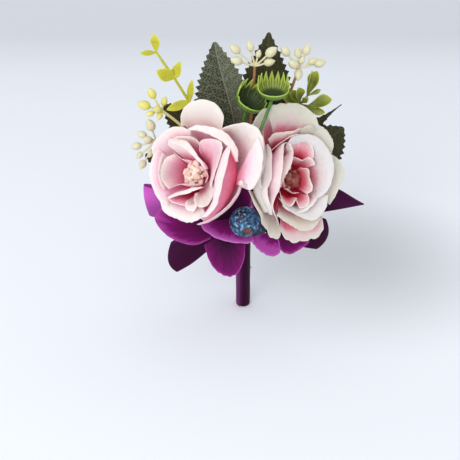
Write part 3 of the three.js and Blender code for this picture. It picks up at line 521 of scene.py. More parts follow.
PINK_INSIDE = rose_cloth(
    "pink_inside",
    ((220, 44, 92), (250, 138, 170), (254, 192, 210), (254, 236, 228)),
    (0.12, 0.42, 0.74, 1.0),
)
PINK_OUTSIDE = rose_cloth(
    "pink_outside",
    ((196, 34, 76), (240, 122, 152), (251, 196, 208), (253, 240, 230)),
    (0.1, 0.45, 0.8, 1.0),
)
PALE_INSIDE = rose_cloth(
    "pale_inside",
    ((202, 36, 62), (230, 126, 140), (246, 196, 200), (250, 242, 232)),
    (0.26, 0.5, 0.72, 0.94),
)
PALE_OUTSIDE = rose_cloth(
    "pale_outside",
    ((212, 36, 70), (246, 150, 174), (252, 212, 220), (252, 244, 236)),
    (0.2, 0.48, 0.74, 0.98),
)
# A darker, greyer copy of pale_inside for the right rose's petals_4: painted shade on the side of the rose
# away from the light.
SHADED_PALE_INSIDE = rose_cloth(
    "shaded_pale_inside",
    ((206, 34, 64), (236, 126, 146), (232, 210, 215), (220, 215, 217)),
    (0.28, 0.53, 0.72, 0.92),
)
# Shell paints for the right rose's outermost layers: a real greenish white, with the inside's palest shades
# greyed and darkened as painted shade where these petals turn away from the light.
SHELL_INSIDE = rose_cloth(
    "shell_inside",
    ((204, 36, 66), (226, 118, 140), (220, 188, 190), (202, 199, 182)),
    (0.34, 0.58, 0.73, 0.88),
)
SHELL_OUTSIDE = rose_cloth(
    "shell_outside",
    ((226, 120, 144), (246, 196, 204), (246, 230, 224), (244, 240, 226)),
    (0.14, 0.46, 0.72, 0.95),
)
LEAF_GREY = leaf_print("grey", (34, 36, 22), (58, 62, 44), (170, 176, 152))
LEAF_DARK = leaf_print("dark", (34, 34, 18), (60, 58, 36), (102, 100, 72))
LIME = moulded("lime", (158, 156, 30), (198, 194, 50), (216, 218, 92))
CREAM = moulded("cream", (198, 192, 150), (216, 214, 186), (166, 106, 64), 0.4)
YELLOW = moulded("yellow_cream", (206, 198, 120), (220, 216, 160), (208, 202, 52), 0.4)
CUP = moulded("cup", (46, 92, 32), (84, 134, 46), (166, 192, 80), 0.36)
# The cup's inner face is a near-black green: painted shade in the hollow.
SHADED_CUP_HOLLOW = moulded("cup_hollow_shaded", (14, 30, 10), (32, 60, 20), (168, 186, 78), 0.6)
OLIVE = moulded("olive", (74, 84, 20), (124, 136, 40), (182, 194, 74), 0.36)
BERRY = berry_foam()
PURPLE = floret_cloth()
SATIN = satin()
WIRE = wrapped("taped_wire", (34, 44, 24), (56, 68, 36), 0.75)
TAPE = wrapped("floral_tape", (62, 78, 42), (92, 108, 60), 0.8)
CALYX = moulded("calyx", (66, 92, 36), (108, 134, 58), (140, 160, 80), 0.55)
NICKEL = nickel_plate()
POLLEN = pollen_paint()


# Stem


def round_stem(radius, angle, z):
    """Points at a radius and a bearing round the stem's middle."""
    return grid_of(radius * np.cos(angle), STEM_Y + radius * np.sin(angle), z)


def slot_at(ring, degrees, z):
    """A wire's place in the bundle: one in the middle, six round it and twelve outside those."""
    corner = degrees % 60 == 0
    reach = WIRE_PITCH * (np.sqrt(3) if ring == 2 and not corner else ring)
    return round_stem(reach, np.radians(degrees), z)


def up_the_stem(slot):
    """The straight run of a wire from the stem's foot to where the bundle opens."""
    return [slot_at(*slot, z) for z in (WIRE_FOOT, BUNDLE_TOP - 1.5, BUNDLE_TOP)]


def flower_wire(name, slot, points):
    """A taped wire up the stem and on through its free points."""
    route = smooth_path(up_the_stem(slot) + points, 90)
    build(f"{name}_round", [tube(route, WIRE_RADIUS)], WIRE, [name], closed=True)


def stem_wrap():
    """Satin rolled once round the stem: the radius grows by a ribbon's thickness to the lap, with small
    puckers, and the foot is drawn in and folded flat. A painted highlight lightens its left side, and
    painted shade dims it towards the top, under the flowers."""
    rows, cols = 90, 120
    lap = np.radians(221)
    times_round = 1.06
    lift = 0.15
    k = np.linspace(0, 1, cols)[None, :]
    v = np.linspace(0, 1, rows)[:, None]
    angle = lap + 2 * np.pi * times_round * k
    pucker = 0.07 * np.sin(5 * angle + 9 * v) * np.sin(13 * v + 2 * angle)
    gather = 1 - 0.06 * ease((0.02 - v) / 0.02)
    radius = (WRAP_BORE + WRAP_WALL * (0.7 + 1.25 * k) + pucker) * gather
    z = STEM_FOOT + lift + (STEM_TOP - STEM_FOOT - lift) * v
    edge = ease((k - 0.975) / 0.025) + ease((0.02 - k) / 0.02)
    # Painted light: a highlight on the left side, fading to painted shade towards the top.
    lit = 0.27 * ease(0.35 - 0.8 * np.cos(angle + np.radians(20)))
    lit = lit * (0.8 + 0.2 * np.sin(7 * v + angle)) * (1.2 - 0.75 * v)
    sleeve = patch(round_stem(radius, angle, z), (radius * angle, z), rim=edge, tone=lit)
    sheet = build("stem_ribbon_wrap_satin", [sleeve], SATIN, ["stem_ribbon_wrap"], wall=SATIN_WALL)
    r = np.linspace(1, 0, 8)[:, None] * WRAP_BORE
    a = turns(48)
    crease = 0.14 * np.abs(np.cos(a + 0.6)) * r / 3
    foot = patch(round_stem(r, a, STEM_FOOT + 0.12 + crease), (r, a), ring=True)
    end = build("stem_foot_fold_satin", [foot], SATIN, [], wall=0.2, closed=True)


def stem_tape():
    """Crepe tape wound up the wires: a tube whose radius steps a little at each turn."""
    pitch, step = 7.0, 0.12
    a = turns(40)
    z = np.linspace(WIRE_FOOT, TAPE_TOP, 160)[:, None]
    turn = (z / pitch + a / (2 * np.pi)) % 1
    radius = TAPE_RADIUS - step + step * turn + 0.04 * np.sin(9 * a + 2 * z)
    wound = patch(round_stem(radius, a, z), ring=True)
    build("stem_floral_tape_crepe", [wound], TAPE, ["stem_floral_tape"], wall=0.2)


def tie_band():
    """The bow's tie: ribbon gathered to a third of its width, wound round the neck and knotted in front."""
    rows, cols = 28, 96
    start = np.radians(-110)
    times_round = 1.04
    k = np.linspace(0, 1, cols)[None, :]
    v = np.linspace(0, 1, rows)[:, None]
    angle = start + 2 * np.pi * times_round * k
    fold = 0.16 * np.sin(v * 5 * np.pi + 1.3 * np.sin(2 * angle))
    radius = TIE_RADIUS - 0.42 + fold + 0.32 * k
    z = TIE_FOOT + 0.1 + (TIE_TOP - TIE_FOOT - 0.2) * v + 0.18 * np.sin(angle * 2)
    rim = ease((np.abs(2 * v - 1) - 0.94) / 0.06)
    band = patch(round_stem(radius, angle, z), (radius * angle, 3 * z), rim=rim)
    tie = build("bow_tie_band_satin", [band], SATIN, ["bow_tie_band"], wall=SATIN_WALL)


stem_wrap()
stem_tape()
tie_band()


# Bow


def ribbon(name, low, high, gathered, slack, belly, sheen):
    """Satin ruled between a lower and an upper edge line. It bows out across its width by slack, is
    gathered near the neck, and the middle of its fold stands belly beyond the edges. Sheen gives the
    painted highlight, a lighter tint, at its start, its middle and its end."""
    rows, cols = 120, 31
    low = smooth_path(low, rows)
    high = smooth_path(high, rows)
    line = (low + high) / 2
    run = np.concatenate([[0], np.cumsum(np.linalg.norm(np.diff(line, axis=0), axis=1))])[:, None]
    share = run / run[-1]
    u = np.linspace(0, 1, cols)[None, :]
    across = high - low
    way = np.gradient(line, axis=0)
    out = np.cross(way, across)
    out = out / np.linalg.norm(out, axis=1, keepdims=True)
    near = np.exp(-((share / 0.14) ** 2)) + gathered * np.exp(-(((1 - share) / 0.14) ** 2))
    stand = 0.5 * near * np.sin(u * 26) + slack * 4 * u * (1 - u) * np.sin(np.pi * share)
    push = belly * 4 * u * (1 - u) * np.exp(-(((share - 0.5) / 0.16) ** 2))
    far = unit(line[rows // 2] - line[0])
    points = low[:, None] + across[:, None] * u[..., None] + out[:, None] * stand[..., None]
    points = points + far * push[..., None]
    rim = ease((np.abs(2 * u - 1) - 0.94) / 0.06)
    # Painted highlight: the sheen values set how much lighter tint each stretch takes.
    lit = np.interp(share, (0, 0.5, 1), sheen) * (0.75 + 0.25 * np.sin(5 * u + 9 * share))
    grid = patch(points, (run, u * RIBBON_WIDTH), rim=rim, tone=lit)
    piece = build(f"{name}_satin", [grid], SATIN, [name], wall=SATIN_WALL)


def beside_tie(degrees, z, stand):
    """The place beside the tie band where a gathered end is held."""
    return round_stem(TIE_RADIUS + 0.3 + stand, np.radians(degrees), z)


def bow_loop(name, root, reach, gape, width_way, belly, sheen):
    """A loop out along reach and back again, its two runs a gape apart in front and behind."""
    reach = np.asarray(reach, float)
    across = unit(width_way)
    stops = [(0, 0.4), (0.3, 0.4 * gape), (0.7, 0.5 * gape), (0.95, 0.36 * gape), (1, 0)]
    runs = [(s, -d) for s, d in stops] + [(s, d) for s, d in reversed(stops[:-1])]
    middle = np.array([root + reach * s + (0, d, 0) for s, d in runs])
    open_by = np.array([min(1, (s / 0.75) ** 0.8) for s, _ in runs])
    half = (RIBBON_PINCH + (RIBBON_WIDTH - RIBBON_PINCH) * open_by)[:, None] / 2
    ribbon(name, middle - across * half, middle + across * half, 1.0, 0.5, belly, sheen)


# Each loop: root beside the tie, reach, gape, width way, belly, and sheen, the painted highlight at its
# start, middle and end.
LOOPS = {
    "bow_loop_left": ((160, 23.2, 0.6), (-42, 1, 7.4), 4.6, (-0.12, 0, 1), 1.5, (0.16, 1.0, 0.08)),
    "bow_loop_lower_left": ((215, 22.2, 1.2), (-29.6, -1, -19.8), 3, (-0.15, 0, 1), 3.8, (0.0, 0.03, 0.0)),
    "bow_loop_lower_right": ((330, 22, 0.6), (33.5, -1, -7), 3, (0.22, 0, 1), 2.5, (0.0, 0.02, 0.0)),
    "bow_loop_upper": ((90, 23.4, 1), (0.5, 0, 16), 1.6, (-1, 0, 0), 1.2, (0.0, 0.1, 0.0)),
}
for name, (root, *form) in LOOPS.items():
    bow_loop(name, beside_tie(*root), *form)
TAIL_ROOT = beside_tie(22, 23.4, 0.4)
TAIL_LOW = [TAIL_ROOT - (0, 0, 2), (18, -2, 20.6), (40.3, -1.8, 24.1), (57.6, -2.4, 28.1)]
TAIL_HIGH = [TAIL_ROOT + (0, 0, 2), (17, -2, 34), (38, -1.4, 38.6), (57.4, -2.4, 28.6)]
# The tail's sheen paints a faint highlight at its end.
ribbon("bow_tail_right", TAIL_LOW, TAIL_HIGH, 0.0, 0.4, 0.0, (0.0, 0.0, 0.08))


# Roses


def petal(rim, rise, belly, bulge, crown=0.6, lip=(0.7, 0.7, 0.7), roll=25.0, crease=0.0, wave=0.25,
          tone=0.0, hole=PEG_HOLE, stem=None, fan=1.5, scallop=(0.0, 1), pale=1.0, seed=0):
    """One petal from the points of its crest. At each place along the crest a cubic runs from the hole
    out along the floor to the belly, up past the bulge and to the crest, in the plane of the axis; then
    a lip of its own width turns outwards by crease and then bends by up to roll degrees, with a frayed
    end cut into as many scallops as asked. Fine crinkles run up to the crest. A stem bearing draws
    the petal's foot together there, and it fans out to its crest by a power of the way along. A belly
    or bulge below 1 is a share of the crest's own reach."""
    rows, lips, cols = 26, 10, 57
    rng = np.random.default_rng(SEED + seed)
    crest = smooth_path(rim, cols)
    reach = np.hypot(crest[:, 0], crest[:, 1])[None, :]
    turn = np.unwrap(np.arctan2(crest[:, 1], crest[:, 0]))[None, :]
    top = crest[None, :, 2]
    u = np.linspace(-1, 1, cols)[None, :]
    v = np.linspace(0, 1, rows)[:, None]
    belly, bulge = (x * reach if x < 1 else x for x in (belly, bulge))
    r = (1 - v) ** 3 * hole + 3 * (1 - v) ** 2 * v * belly + 3 * (1 - v) * v**2 * bulge + v**3 * reach
    z = rise + (top - rise) * (3 * (1 - v) * v**2 * crown + v**3)
    s = np.linspace(0, 1, lips + 1)[1:, None]
    width = np.interp(u, (-1, 0, 1), lip) * (1 + 0.2 * ripple(u, rng, 3, 2, 7))
    width = width + scallop[0] * np.abs(np.sin(scallop[1] * np.pi * (u + 1.06 + 0.05 * np.sin(4 * u)) / 2))
    width = (width + 0.18 * ripple(u, rng, 4, 18, 46)) * (0.15 + 0.85 * ease((1 - np.abs(u)) / 0.3))
    lift = np.arctan2((top - rise) * (1 - crown), reach - bulge) * np.ones_like(s) - np.radians(crease)
    lift = lift - np.radians(roll) * s * (1 + 0.35 * ripple(u, rng, 3, 1.5, 5))
    r = np.vstack([r, r[-1:] + np.cumsum(width / lips * np.cos(lift), axis=0)])
    z = np.vstack([z, z[-1:] + np.cumsum(width / lips * np.sin(lift), axis=0)])
    share = np.vstack([v, 1 + 0 * s])
    r = r + wave * share**2 * ripple(u, rng, 3, 3, 8) + 0.16 * share**3 * ripple(u, rng, 5, 9, 34)
    middle = turn.mean()
    angle = middle + (turn - middle) * (0.8 + 0.2 * share)
    if stem is not None:
        angle = np.radians(stem) + (turn - np.radians(stem)) * share**fan
    points = grid_of(r * np.cos(angle), r * np.sin(angle), z)
    length = np.concatenate([[0], np.linalg.norm(np.diff(points[:, cols // 2], axis=0), axis=1).cumsum()])
    sides = 0.6 * ease((np.abs(u) - 0.97) / 0.03) * ease(share * 2 - 0.6)
    edge = np.vstack([0.2 * ease((v - 0.88) / 0.12), 0.2 + 0.8 * ease(s)])
    edge = pale * np.maximum(edge, sides)
    way = 1 if turn[0, -1] > turn[0, 0] else -1
    flat = ((u * reach.mean() * np.ptp(turn) / 2)[:, ::way], length[:, None])
    body = tone * np.vstack([1 + 0 * v, 1 - ease(2 * s)])
    return patch(points[:, ::way], flat, depth=0.94 * share, rim=edge[:, ::way], tone=body)


def hash_of(name):
    """A number that stays the same for a name."""
    return sum((k + 1) * ord(c) for k, c in enumerate(name)) % 997


def petal_layer(name, paints, foot, place, rise, petals):
    """A layer of cloth petals threaded on the calyx peg, each given by its crest and its other values."""
    seed = hash_of(name)
    made = [petal(rise=rise, seed=seed + 17 * k, **shape) for k, shape in enumerate(petals)]
    grids = [set_down(grid, place, foot) for grid in made]
    outside, inside = paints
    piece = build(f"{name}_cloth", grids, outside, [name], wall=CLOTH_WALL, lining=inside)


def round_rim(bearing, half, near, far, height):
    """A crest that goes round from one side of a petal over its end to the other side."""
    a = np.linspace(-1, 1, 9)
    r = near + (far - near) * (1 - np.abs(a) ** 3)
    turn = np.radians(bearing + half * np.sin(a * np.pi / 2))
    return np.stack([r * np.cos(turn), r * np.sin(turn), height * r / far], axis=1)


def calyx_cup(name, foot, place, layers):
    """The green cup: a turned profile with its peg, and five sepals that lie back under the petals."""
    peg = PEG_FOOT + layers * LAYER_STEP
    profile = [(0, 3.0), (0.65, 3.0), (0.65, 0), (1.2, 0), (1.6, 0.4), (2.7, 1.5), (3.4, 2.6), (3.5, 3.4)]
    profile += [(3.5, 4.3), (3.3, 4.5), (1.25, 4.5), (1.2, 4.6), (1.2, peg - 0.2), (1.0, peg), (0, peg)]
    turned = [lathe(profile, place, foot, 28)]
    sepals = []
    for k in range(5):
        rim = round_rim(72 * k, 26, 3.4, 8.6, 4.4)
        sepal = petal(rim, 2.1, 5.0, 7.0, lip=(0.3, 0.3, 0.3), roll=20, wave=0.1, hole=2.9, seed=k)
        sepals.append(set_down(sepal, place, foot))
    build(f"{name}_calyx_moulding", turned, CALYX, [f"{name}_calyx"], closed=True)
    build(f"{name}_sepals_moulding", sepals, CALYX, [], wall=0.45)


def stamen_heart(name, foot, place, rise, lean, browned):
    """A brown dome set with grainy lumps at the golden angle, each a ball of seeded size with low waves.
    The lumps lean over by more the higher they stand."""
    radius, count = 4.3, 22
    golden = np.radians(137.5)
    rng = np.random.default_rng(SEED + hash_of(name))
    base = foot + place[:, 2] * rise
    s = np.linspace(0, 1, 9)
    dome = np.stack([radius * np.sin(s * 1.5), radius * (0.15 + 0.95 * np.cos(s * 1.5))], axis=1)
    dome = np.vstack([dome, [[0.5 * radius, 0], [0, 0]]])
    grids = [lathe(dome, place, base, 24, tone=0.9)]
    lat = np.linspace(0, np.pi, 9)[:, None]
    lon = turns(12)
    ball = grid_of(np.sin(lat) * np.cos(lon), np.sin(lat) * np.sin(lon), np.cos(lat))
    for k in range(count):
        a = golden * k
        out = 1.1 * radius * np.sqrt((k + 0.5) / count)
        high = radius * (1.3 - 0.75 * (out / radius) ** 2) + rng.uniform(-0.5, 0.6)
        size = rng.uniform(0.75, 1.9)
        lumps = 1 + 0.16 * ripple(3 * lon, rng, 2, 1, 1.01) * np.sin(lat)
        over = np.array(lean) * high / radius
        seat = np.array([out * np.cos(a) + over[0], out * np.sin(a) + over[1], high])
        tone = max(0.0, browned + rng.uniform(-0.3, 0.4))
        lump = patch(ball * (size * lumps)[..., None] + seat, ring=True, tone=tone)
        grids.append(set_down(lump, place, base))
    build(f"{name}_stamens_grain", grids, POLLEN, [f"{name}_stamens"], closed=True)


def rose(name, paints, shaded_paints, foot, axis, layers, slot, path, lean, browned):
    """A whole rose: calyx, petal layers from the heart outwards, stamens and wire. Shaded_paints gives the
    paints of the layers that differ from the rest: darker copies that partly paint shade."""
    foot = np.asarray(foot, float)
    place = facing_frame(axis)
    count = len(layers)
    calyx_cup(name, foot, place, count)
    for k, (part, petals) in enumerate(layers.items()):
        rise = PEG_FOOT + LAYER_STEP * (count - 1 - k + 0.25)
        petal_layer(f"{name}_{part}", shaded_paints.get(part, paints), foot, place, rise, petals)
    stamen_heart(name, foot, place, PEG_FOOT + count * LAYER_STEP + 0.3, lean, browned)
    entry = [foot + place[:, 2] * d for d in (-4.5, -1.5, 2.7)]
    flower_wire(f"{name}_wire", slot, path + entry)


LEFT_LAYERS = {
    "petals_1": [
        dict(rim=[(-8.9, 8.1, 21), (-5.9, 5.8, 20.5), (-2.6, 5.1, 20), (-0.7, 3.8, 19)],
             belly=6, bulge=7, tone=0.06),
        dict(rim=[(-8.6, -8.2, 20.5), (-3.3, -5.6, 20.5), (2.1, -5, 20), (5.8, -3.9, 19.5)],
             belly=6, bulge=7, tone=0.12),
        dict(rim=[(3, 3.2, 19), (6.2, 2, 19.5), (7.8, -0.5, 19.5), (6.9, -3.7, 19)],
             belly=6, bulge=7, tone=0.06),
    ],
    "petals_2": [
        dict(rim=[(-10.8, 10.6, 24.5), (-8, 11.4, 25.5), (-3.6, 10.4, 26), (0.7, 8.1, 26), (4.5, 5.2, 25),
                  (7.1, 2.2, 23)],
             belly=7, bulge=8, lip=(3.6, 4.4, 1.4), roll=120, tone=0.15),
        dict(rim=[(-8, -12.2, 23), (-2.7, -9.1, 23.5), (2.7, -6.9, 23.5), (6.7, -5.5, 23)],
             belly=8, bulge=8.5, lip=(2, 3, 2), roll=100),
        dict(rim=[(-8.2, 7.1, 21.5), (-11.7, 4.1, 22), (-12.4, -0.6, 22), (-11.3, -5.2, 22),
                  (-8.4, -8.8, 21.5)],
             belly=9, bulge=9, tone=0.02, crown=0.7),
        dict(rim=[(4.4, -9, 23), (4.8, -12.4, 24), (7.6, -14.2, 24.6), (11, -12.6, 24.6), (12.6, -8, 24.6),
                  (12.4, -3, 24.6)],
             belly=9, bulge=9.5, tone=0.3),
    ],
    "petals_3": [
        dict(rim=[(3.6, 10.4, 23.6), (4, 13.8, 24.8), (8.8, 15.3, 25.6), (13.2, 14.4, 26), (14.3, 11, 26.1),
                  (13.2, 4.4, 26), (12.3, -1.5, 25.8), (11.9, -5.7, 25)],
             belly=8, bulge=8.5, lip=(0.5, 0.5, 0.5), crown=0.75, tone=-0.05, pale=0.6),
        dict(rim=[(-9.7, -11.6, 22), (-4.9, -13.9, 23), (0.2, -14.5, 23.5), (4.2, -13.6, 23.2),
                  (6.8, -12.4, 21.4)],
             belly=11, bulge=11.5, tone=-0.3, pale=0.25),
        dict(rim=[(-13.6, 7, 22.5), (-13.9, 1, 23), (-12.9, -4.7, 23), (-10.4, -9.4, 22.8)],
             belly=10.5, bulge=11, tone=0.04),
        dict(rim=[(-10.6, 12.2, 24), (-5.8, 14.6, 25), (-0.1, 14.7, 25.3), (4.5, 13.2, 25)],
             belly=11, bulge=11.5, tone=0.05),
    ],
    "petals_4": [
        dict(rim=[(16.6, 14.3, 25), (15, 9.4, 26.5), (14.3, 4.4, 27), (13.6, -1.4, 27), (13.8, -7.1, 27),
                  (13.4, -11.7, 26.5), (10.8, -16.6, 26), (8.3, -18.8, 25.5)],
             belly=21, bulge=25.5, lip=(4.6, 4, 1), crease=100, roll=50, tone=-0.34),
        dict(rim=[(-3.2, 18.1, 24.5), (2, 18.5, 26), (7.1, 17.6, 26.8), (12.6, 15.7, 27),
                  (16.4, 13.8, 26.8), (19.3, 11.2, 26), (21.9, 7.5, 24)],
             belly=17, bulge=19, lip=(2, 4.4, 1.6), crease=55, roll=40, tone=0.05),
        dict(rim=[(-17.4, 4.6, 22.5), (-17.7, 9, 23.5), (-15.4, 13.2, 24.5), (-11.6, 16.6, 25),
                  (-6.6, 18.4, 25.2), (-1.1, 18.3, 25)],
             belly=13, bulge=12.5, crown=0.85, roll=40, tone=-0.04),
        dict(rim=[(-15.7, 9, 23), (-16.3, 4.1, 24), (-15.9, -1.3, 24.5), (-14.4, -7.3, 24.5),
                  (-11.4, -12.3, 24), (-7.3, -16, 23.5)],
             belly=12, bulge=11.5, crown=0.85, lip=(1, 1.8, 1), roll=60, tone=-0.12),
        dict(rim=[(-11.2, -14.2, 23.5), (-7.2, -18.3, 24), (-1.5, -19.8, 24.5), (3.6, -20.4, 25),
                  (7.5, -19.3, 25.5), (11.2, -17.3, 25.5)],
             belly=13, bulge=13, crown=0.85, lip=(1, 1.6, 1), roll=50, tone=0.1),
        dict(rim=[(22.8, 4, 18), (22.9, -0.5, 19), (22.6, -4, 19.4), (21.6, -7.4, 19.6),
                  (19.2, -12.3, 19.6), (15.2, -16.8, 19.6), (10.5, -20.2, 19.4), (6, -22.1, 19)],
             belly=18, bulge=25, wave=0.4, tone=-0.1),
        dict(rim=[(1, -13.2, 24.6), (2, -15.7, 25.2), (4.7, -16.4, 25.2), (6.6, -13.8, 24.8)],
             belly=11.5, bulge=11, tone=0.5, crown=0.85),
        dict(rim=[(5.8, -18.6, 23.6), (8.6, -17.4, 24.2), (12.1, -15.8, 24.6), (14.2, -14.4, 24.6)],
             belly=16, bulge=20, tone=-0.1),
    ],
    "guard": [
        dict(rim=[(-5.9, 18.6, 24), (-5.7, 24.4, 27), (-2.9, 28.8, 28), (3, 31, 28.5), (8.6, 30.4, 28),
                  (12.9, 26, 27), (12.4, 20.4, 24)],
             belly=18, bulge=24, tone=0.3, crown=0.8),
        dict(rim=[(7.5, 20, 22.5), (10.9, 19.2, 24), (15, 20.8, 27), (22.1, 22.9, 28.5), (27.6, 21.9, 28.5),
                  (30.3, 18.7, 28), (31.5, 14.1, 27), (30.9, 9.2, 26), (29, 4, 25), (26, 0, 24)],
             belly=22, bulge=26, lip=(1, 2, 1), roll=60, tone=0.24),
        dict(rim=[(30.2, 18.6, 29), (33.2, 12.1, 30.5), (33.6, 6.6, 30.5), (32.9, 2.5, 29.4),
                  (31.3, -1.6, 28.4), (29.3, -4.2, 28), (28.1, -1.8, 27.6), (26.6, -2.9, 27.4),
                  (25.6, -0.6, 27)],
             belly=24, bulge=22, crown=1.05, stem=-6, fan=1.15, tone=0.02),
    ],
}
RIGHT_LAYERS = {
    "petals_1": [
        dict(rim=[(2.8, 4.2, 22.5), (5.4, 2.9, 23.5), (5.2, -0.9, 24), (5.9, -5.3, 24), (3.2, -7.8, 23.5)],
             belly=5.5, bulge=6.5, tone=-0.08, pale=0.45),
        dict(rim=[(-1.1, 5, 21), (-4.2, 3.5, 21), (-5.9, 0.5, 21), (-5.4, -3.1, 21)],
             belly=5.5, bulge=6.5, tone=-0.25),
        dict(rim=[(-5, -3.5, 20), (-2.6, -5.8, 20.5), (0.6, -6.7, 21)],
             belly=5.5, bulge=6.5, tone=-0.25, pale=0.5),
    ],
    "petals_2": [
        dict(rim=[(-3.1, 15.7, 25), (-1.8, 14.5, 26.5), (-1.6, 10.7, 27), (-3.2, 6.7, 27),
                  (-5.6, 3.3, 26.5), (-7.7, 0.4, 25.5), (-8.4, -3, 24)],
             belly=10, bulge=13.5, wave=0.1, crown=0.5),
        dict(rim=[(-0.2, 9.2, 23), (3, 7.5, 23.5), (6.1, 8.1, 24), (9, 4.5, 24)],
             belly=8, bulge=8.5, wave=0.5, tone=-0.1),
        dict(rim=[(-8.7, -4.7, 23), (-8.7, -8.7, 24), (-5.3, -11.5, 24.5), (-2, -8.8, 24)],
             belly=8.5, bulge=9, tone=-0.2, pale=0.35),
        dict(rim=[(-1.9, -8.7, 23.5), (-1.5, -12.6, 24.5), (1.1, -13, 24.5), (3.3, -10.4, 24),
                  (3.6, -7.9, 23.5)],
             belly=8, bulge=8.5, tone=-0.2, pale=0.35),
    ],
    "petals_3": [
        dict(rim=[(-2.7, 16, 26), (-4.9, 15.3, 27), (-6.6, 10.9, 28), (-7.7, 6.8, 28.5), (-10.1, 0.1, 28.5),
                  (-10.8, -3.5, 28), (-12.7, -6.9, 27.2), (-14.2, -10.5, 26.5), (-13.1, -14.7, 25),
                  (-11.5, -19.3, 23)],
             belly=13, bulge=18, lip=(1, 1, 0.6), roll=60, wave=0.1, tone=-0.14, crown=0.5),
        dict(rim=[(-1.2, 15.4, 25), (3.5, 16, 26), (7.1, 13.4, 26), (8.1, 9.8, 25.6), (8, 6.4, 23.6)],
             belly=9.5, bulge=8.5, lip=(0.6, 1, 0.6), crown=0.85, tone=-0.26, pale=0.4),
        dict(rim=[(-10.5, -7.9, 25), (-7.2, -12.8, 26), (-1.2, -14.8, 26), (4.8, -11.9, 25.5),
                  (8.9, -6.6, 25)],
             belly=10.5, bulge=11),
    ],
    "petals_4": [
        dict(rim=[(-3.6, 14.4, 24.6), (-0.6, 17.2, 26.2), (5.1, 17.4, 27), (10.4, 15.3, 27.5),
                  (14, 9.8, 27.5), (15.3, 3.7, 27.5), (13.6, -3.1, 27), (10.1, -8.1, 26.5),
                  (5.9, -10.4, 26)],
             belly=12, bulge=9.5, lip=(0.6, 1.2, 0.8), crown=0.88, tone=0.1),
        dict(rim=[(12.5, -9.6, 25), (9.4, -15.1, 25.5), (4.7, -17.9, 26), (-1.2, -16.9, 26.5),
                  (-6, -13.8, 26.5), (-9.5, -11, 25.5)],
             belly=12.5, bulge=11, lip=(0.8, 1.4, 0.6), crown=0.85, tone=0.12),
        dict(rim=[(-11.6, 16.7, 24.6), (-11, 13.2, 25.6), (-12.1, 7.5, 26), (-13.4, 1.1, 26),
                  (-15.5, -2.8, 25.6), (-15.6, -6.9, 25), (-14.4, -11.4, 24.2), (-13.9, -14.5, 23.2)],
             belly=17, bulge=20.5, wave=0.1, tone=0.2, crown=0.6),
        dict(rim=[(-12, 23.1, 22.4), (-12.8, 16.9, 23.2), (-13.6, 10.3, 23.6), (-15.6, 5.6, 23.6),
                  (-17.3, 1.3, 23.3), (-16.5, -4.1, 22.7), (-15.2, -8.9, 22), (-14.9, -13, 20.6)],
             belly=19, bulge=22, wave=0.1, tone=0.24, crown=0.7),
        dict(rim=[(-10.4, 13.6, 25), (-6.2, 16.1, 26.2), (-1.5, 18.2, 26.8), (3.4, 18.8, 26.8)],
             belly=14, bulge=17, wave=0.1, tone=-0.3, lip=(0.5, 0.6, 0.6)),
    ],
    "petals_5": [
        dict(rim=[(4, 21.2, 25.4), (9.7, 21.5, 26.4), (15, 18.2, 26), (17.5, 13.3, 25.5), (17.7, 8.6, 24)],
             belly=16, bulge=15, lip=(0.6, 1.4, 0.6), crown=0.8, tone=0.15),
        dict(rim=[(18.1, 8.2, 22), (21, 3.3, 23), (20.8, -2.2, 23), (18.1, -7.3, 22.5),
                  (13.8, -13.9, 21.5)],
             belly=16, bulge=15, lip=(0.6, 1.4, 0.6), crown=0.8, tone=0.2),
        dict(rim=[(7.9, -19.1, 24), (2.1, -22.5, 25), (-2.8, -21.3, 25.5), (-8.2, -18.4, 26),
                  (-13, -15, 26)],
             belly=15, bulge=14.5, lip=(0.8, 1.6, 0.6), crown=0.8, tone=0.1),
        dict(rim=[(-11.3, 18.4, 25.5), (-7.8, 19.9, 26.4), (-3.6, 19.5, 26.9), (0.6, 19.8, 27),
                  (4.4, 21.6, 26.6)],
             belly=15, bulge=16, lip=(1, 1.4, 1), roll=40, tone=-0.14),
    ],
    "guard_upper": [
        dict(rim=[(-10.3, 28.1, 27), (-7.9, 31.8, 28), (-1.2, 31.8, 29), (5.5, 29.7, 29),
                  (10.3, 25.2, 28.5), (12.1, 20.2, 27.5)],
             belly=19, bulge=20, tone=0.0, lip=(0.6, 1.2, 0.6), crown=0.85),
        dict(rim=[(-17, 23.9, 24), (-16, 27.5, 26), (-12.4, 30.6, 27), (-9.1, 31.4, 27.5),
                  (-6.2, 29.7, 27)],
             belly=20, bulge=23, tone=-0.05),
    ],
    "guard_lower": [
        dict(rim=[(-10.6, -20.9, 20), (-7.6, -25.6, 20.5), (-3.8, -27.2, 20.5), (1.2, -27.1, 20.5),
                  (5.8, -26.3, 20.5), (8.9, -23.4, 20), (10.3, -18.8, 19.5)],
             belly=17, bulge=18, wave=0.4, crown=0.8, tone=-0.14, scallop=(0.7, 5)),
        dict(rim=[(-21.8, -2.3, 20), (-20.8, -7.6, 21), (-18.6, -14.2, 21.5), (-18.3, -17.4, 21.5),
                  (-16.8, -19.4, 21.3), (-16.1, -22.2, 21), (-14, -24, 21), (-11.2, -23.8, 20.6),
                  (-10.2, -21.4, 20)],
             belly=17, bulge=19, wave=0.3, tone=0.24, scallop=(0.4, 5)),
    ],
}
PINK = (PINK_OUTSIDE, PINK_INSIDE)
PALE = (PALE_OUTSIDE, PALE_INSIDE)
SHELL = (SHELL_OUTSIDE, SHELL_INSIDE)
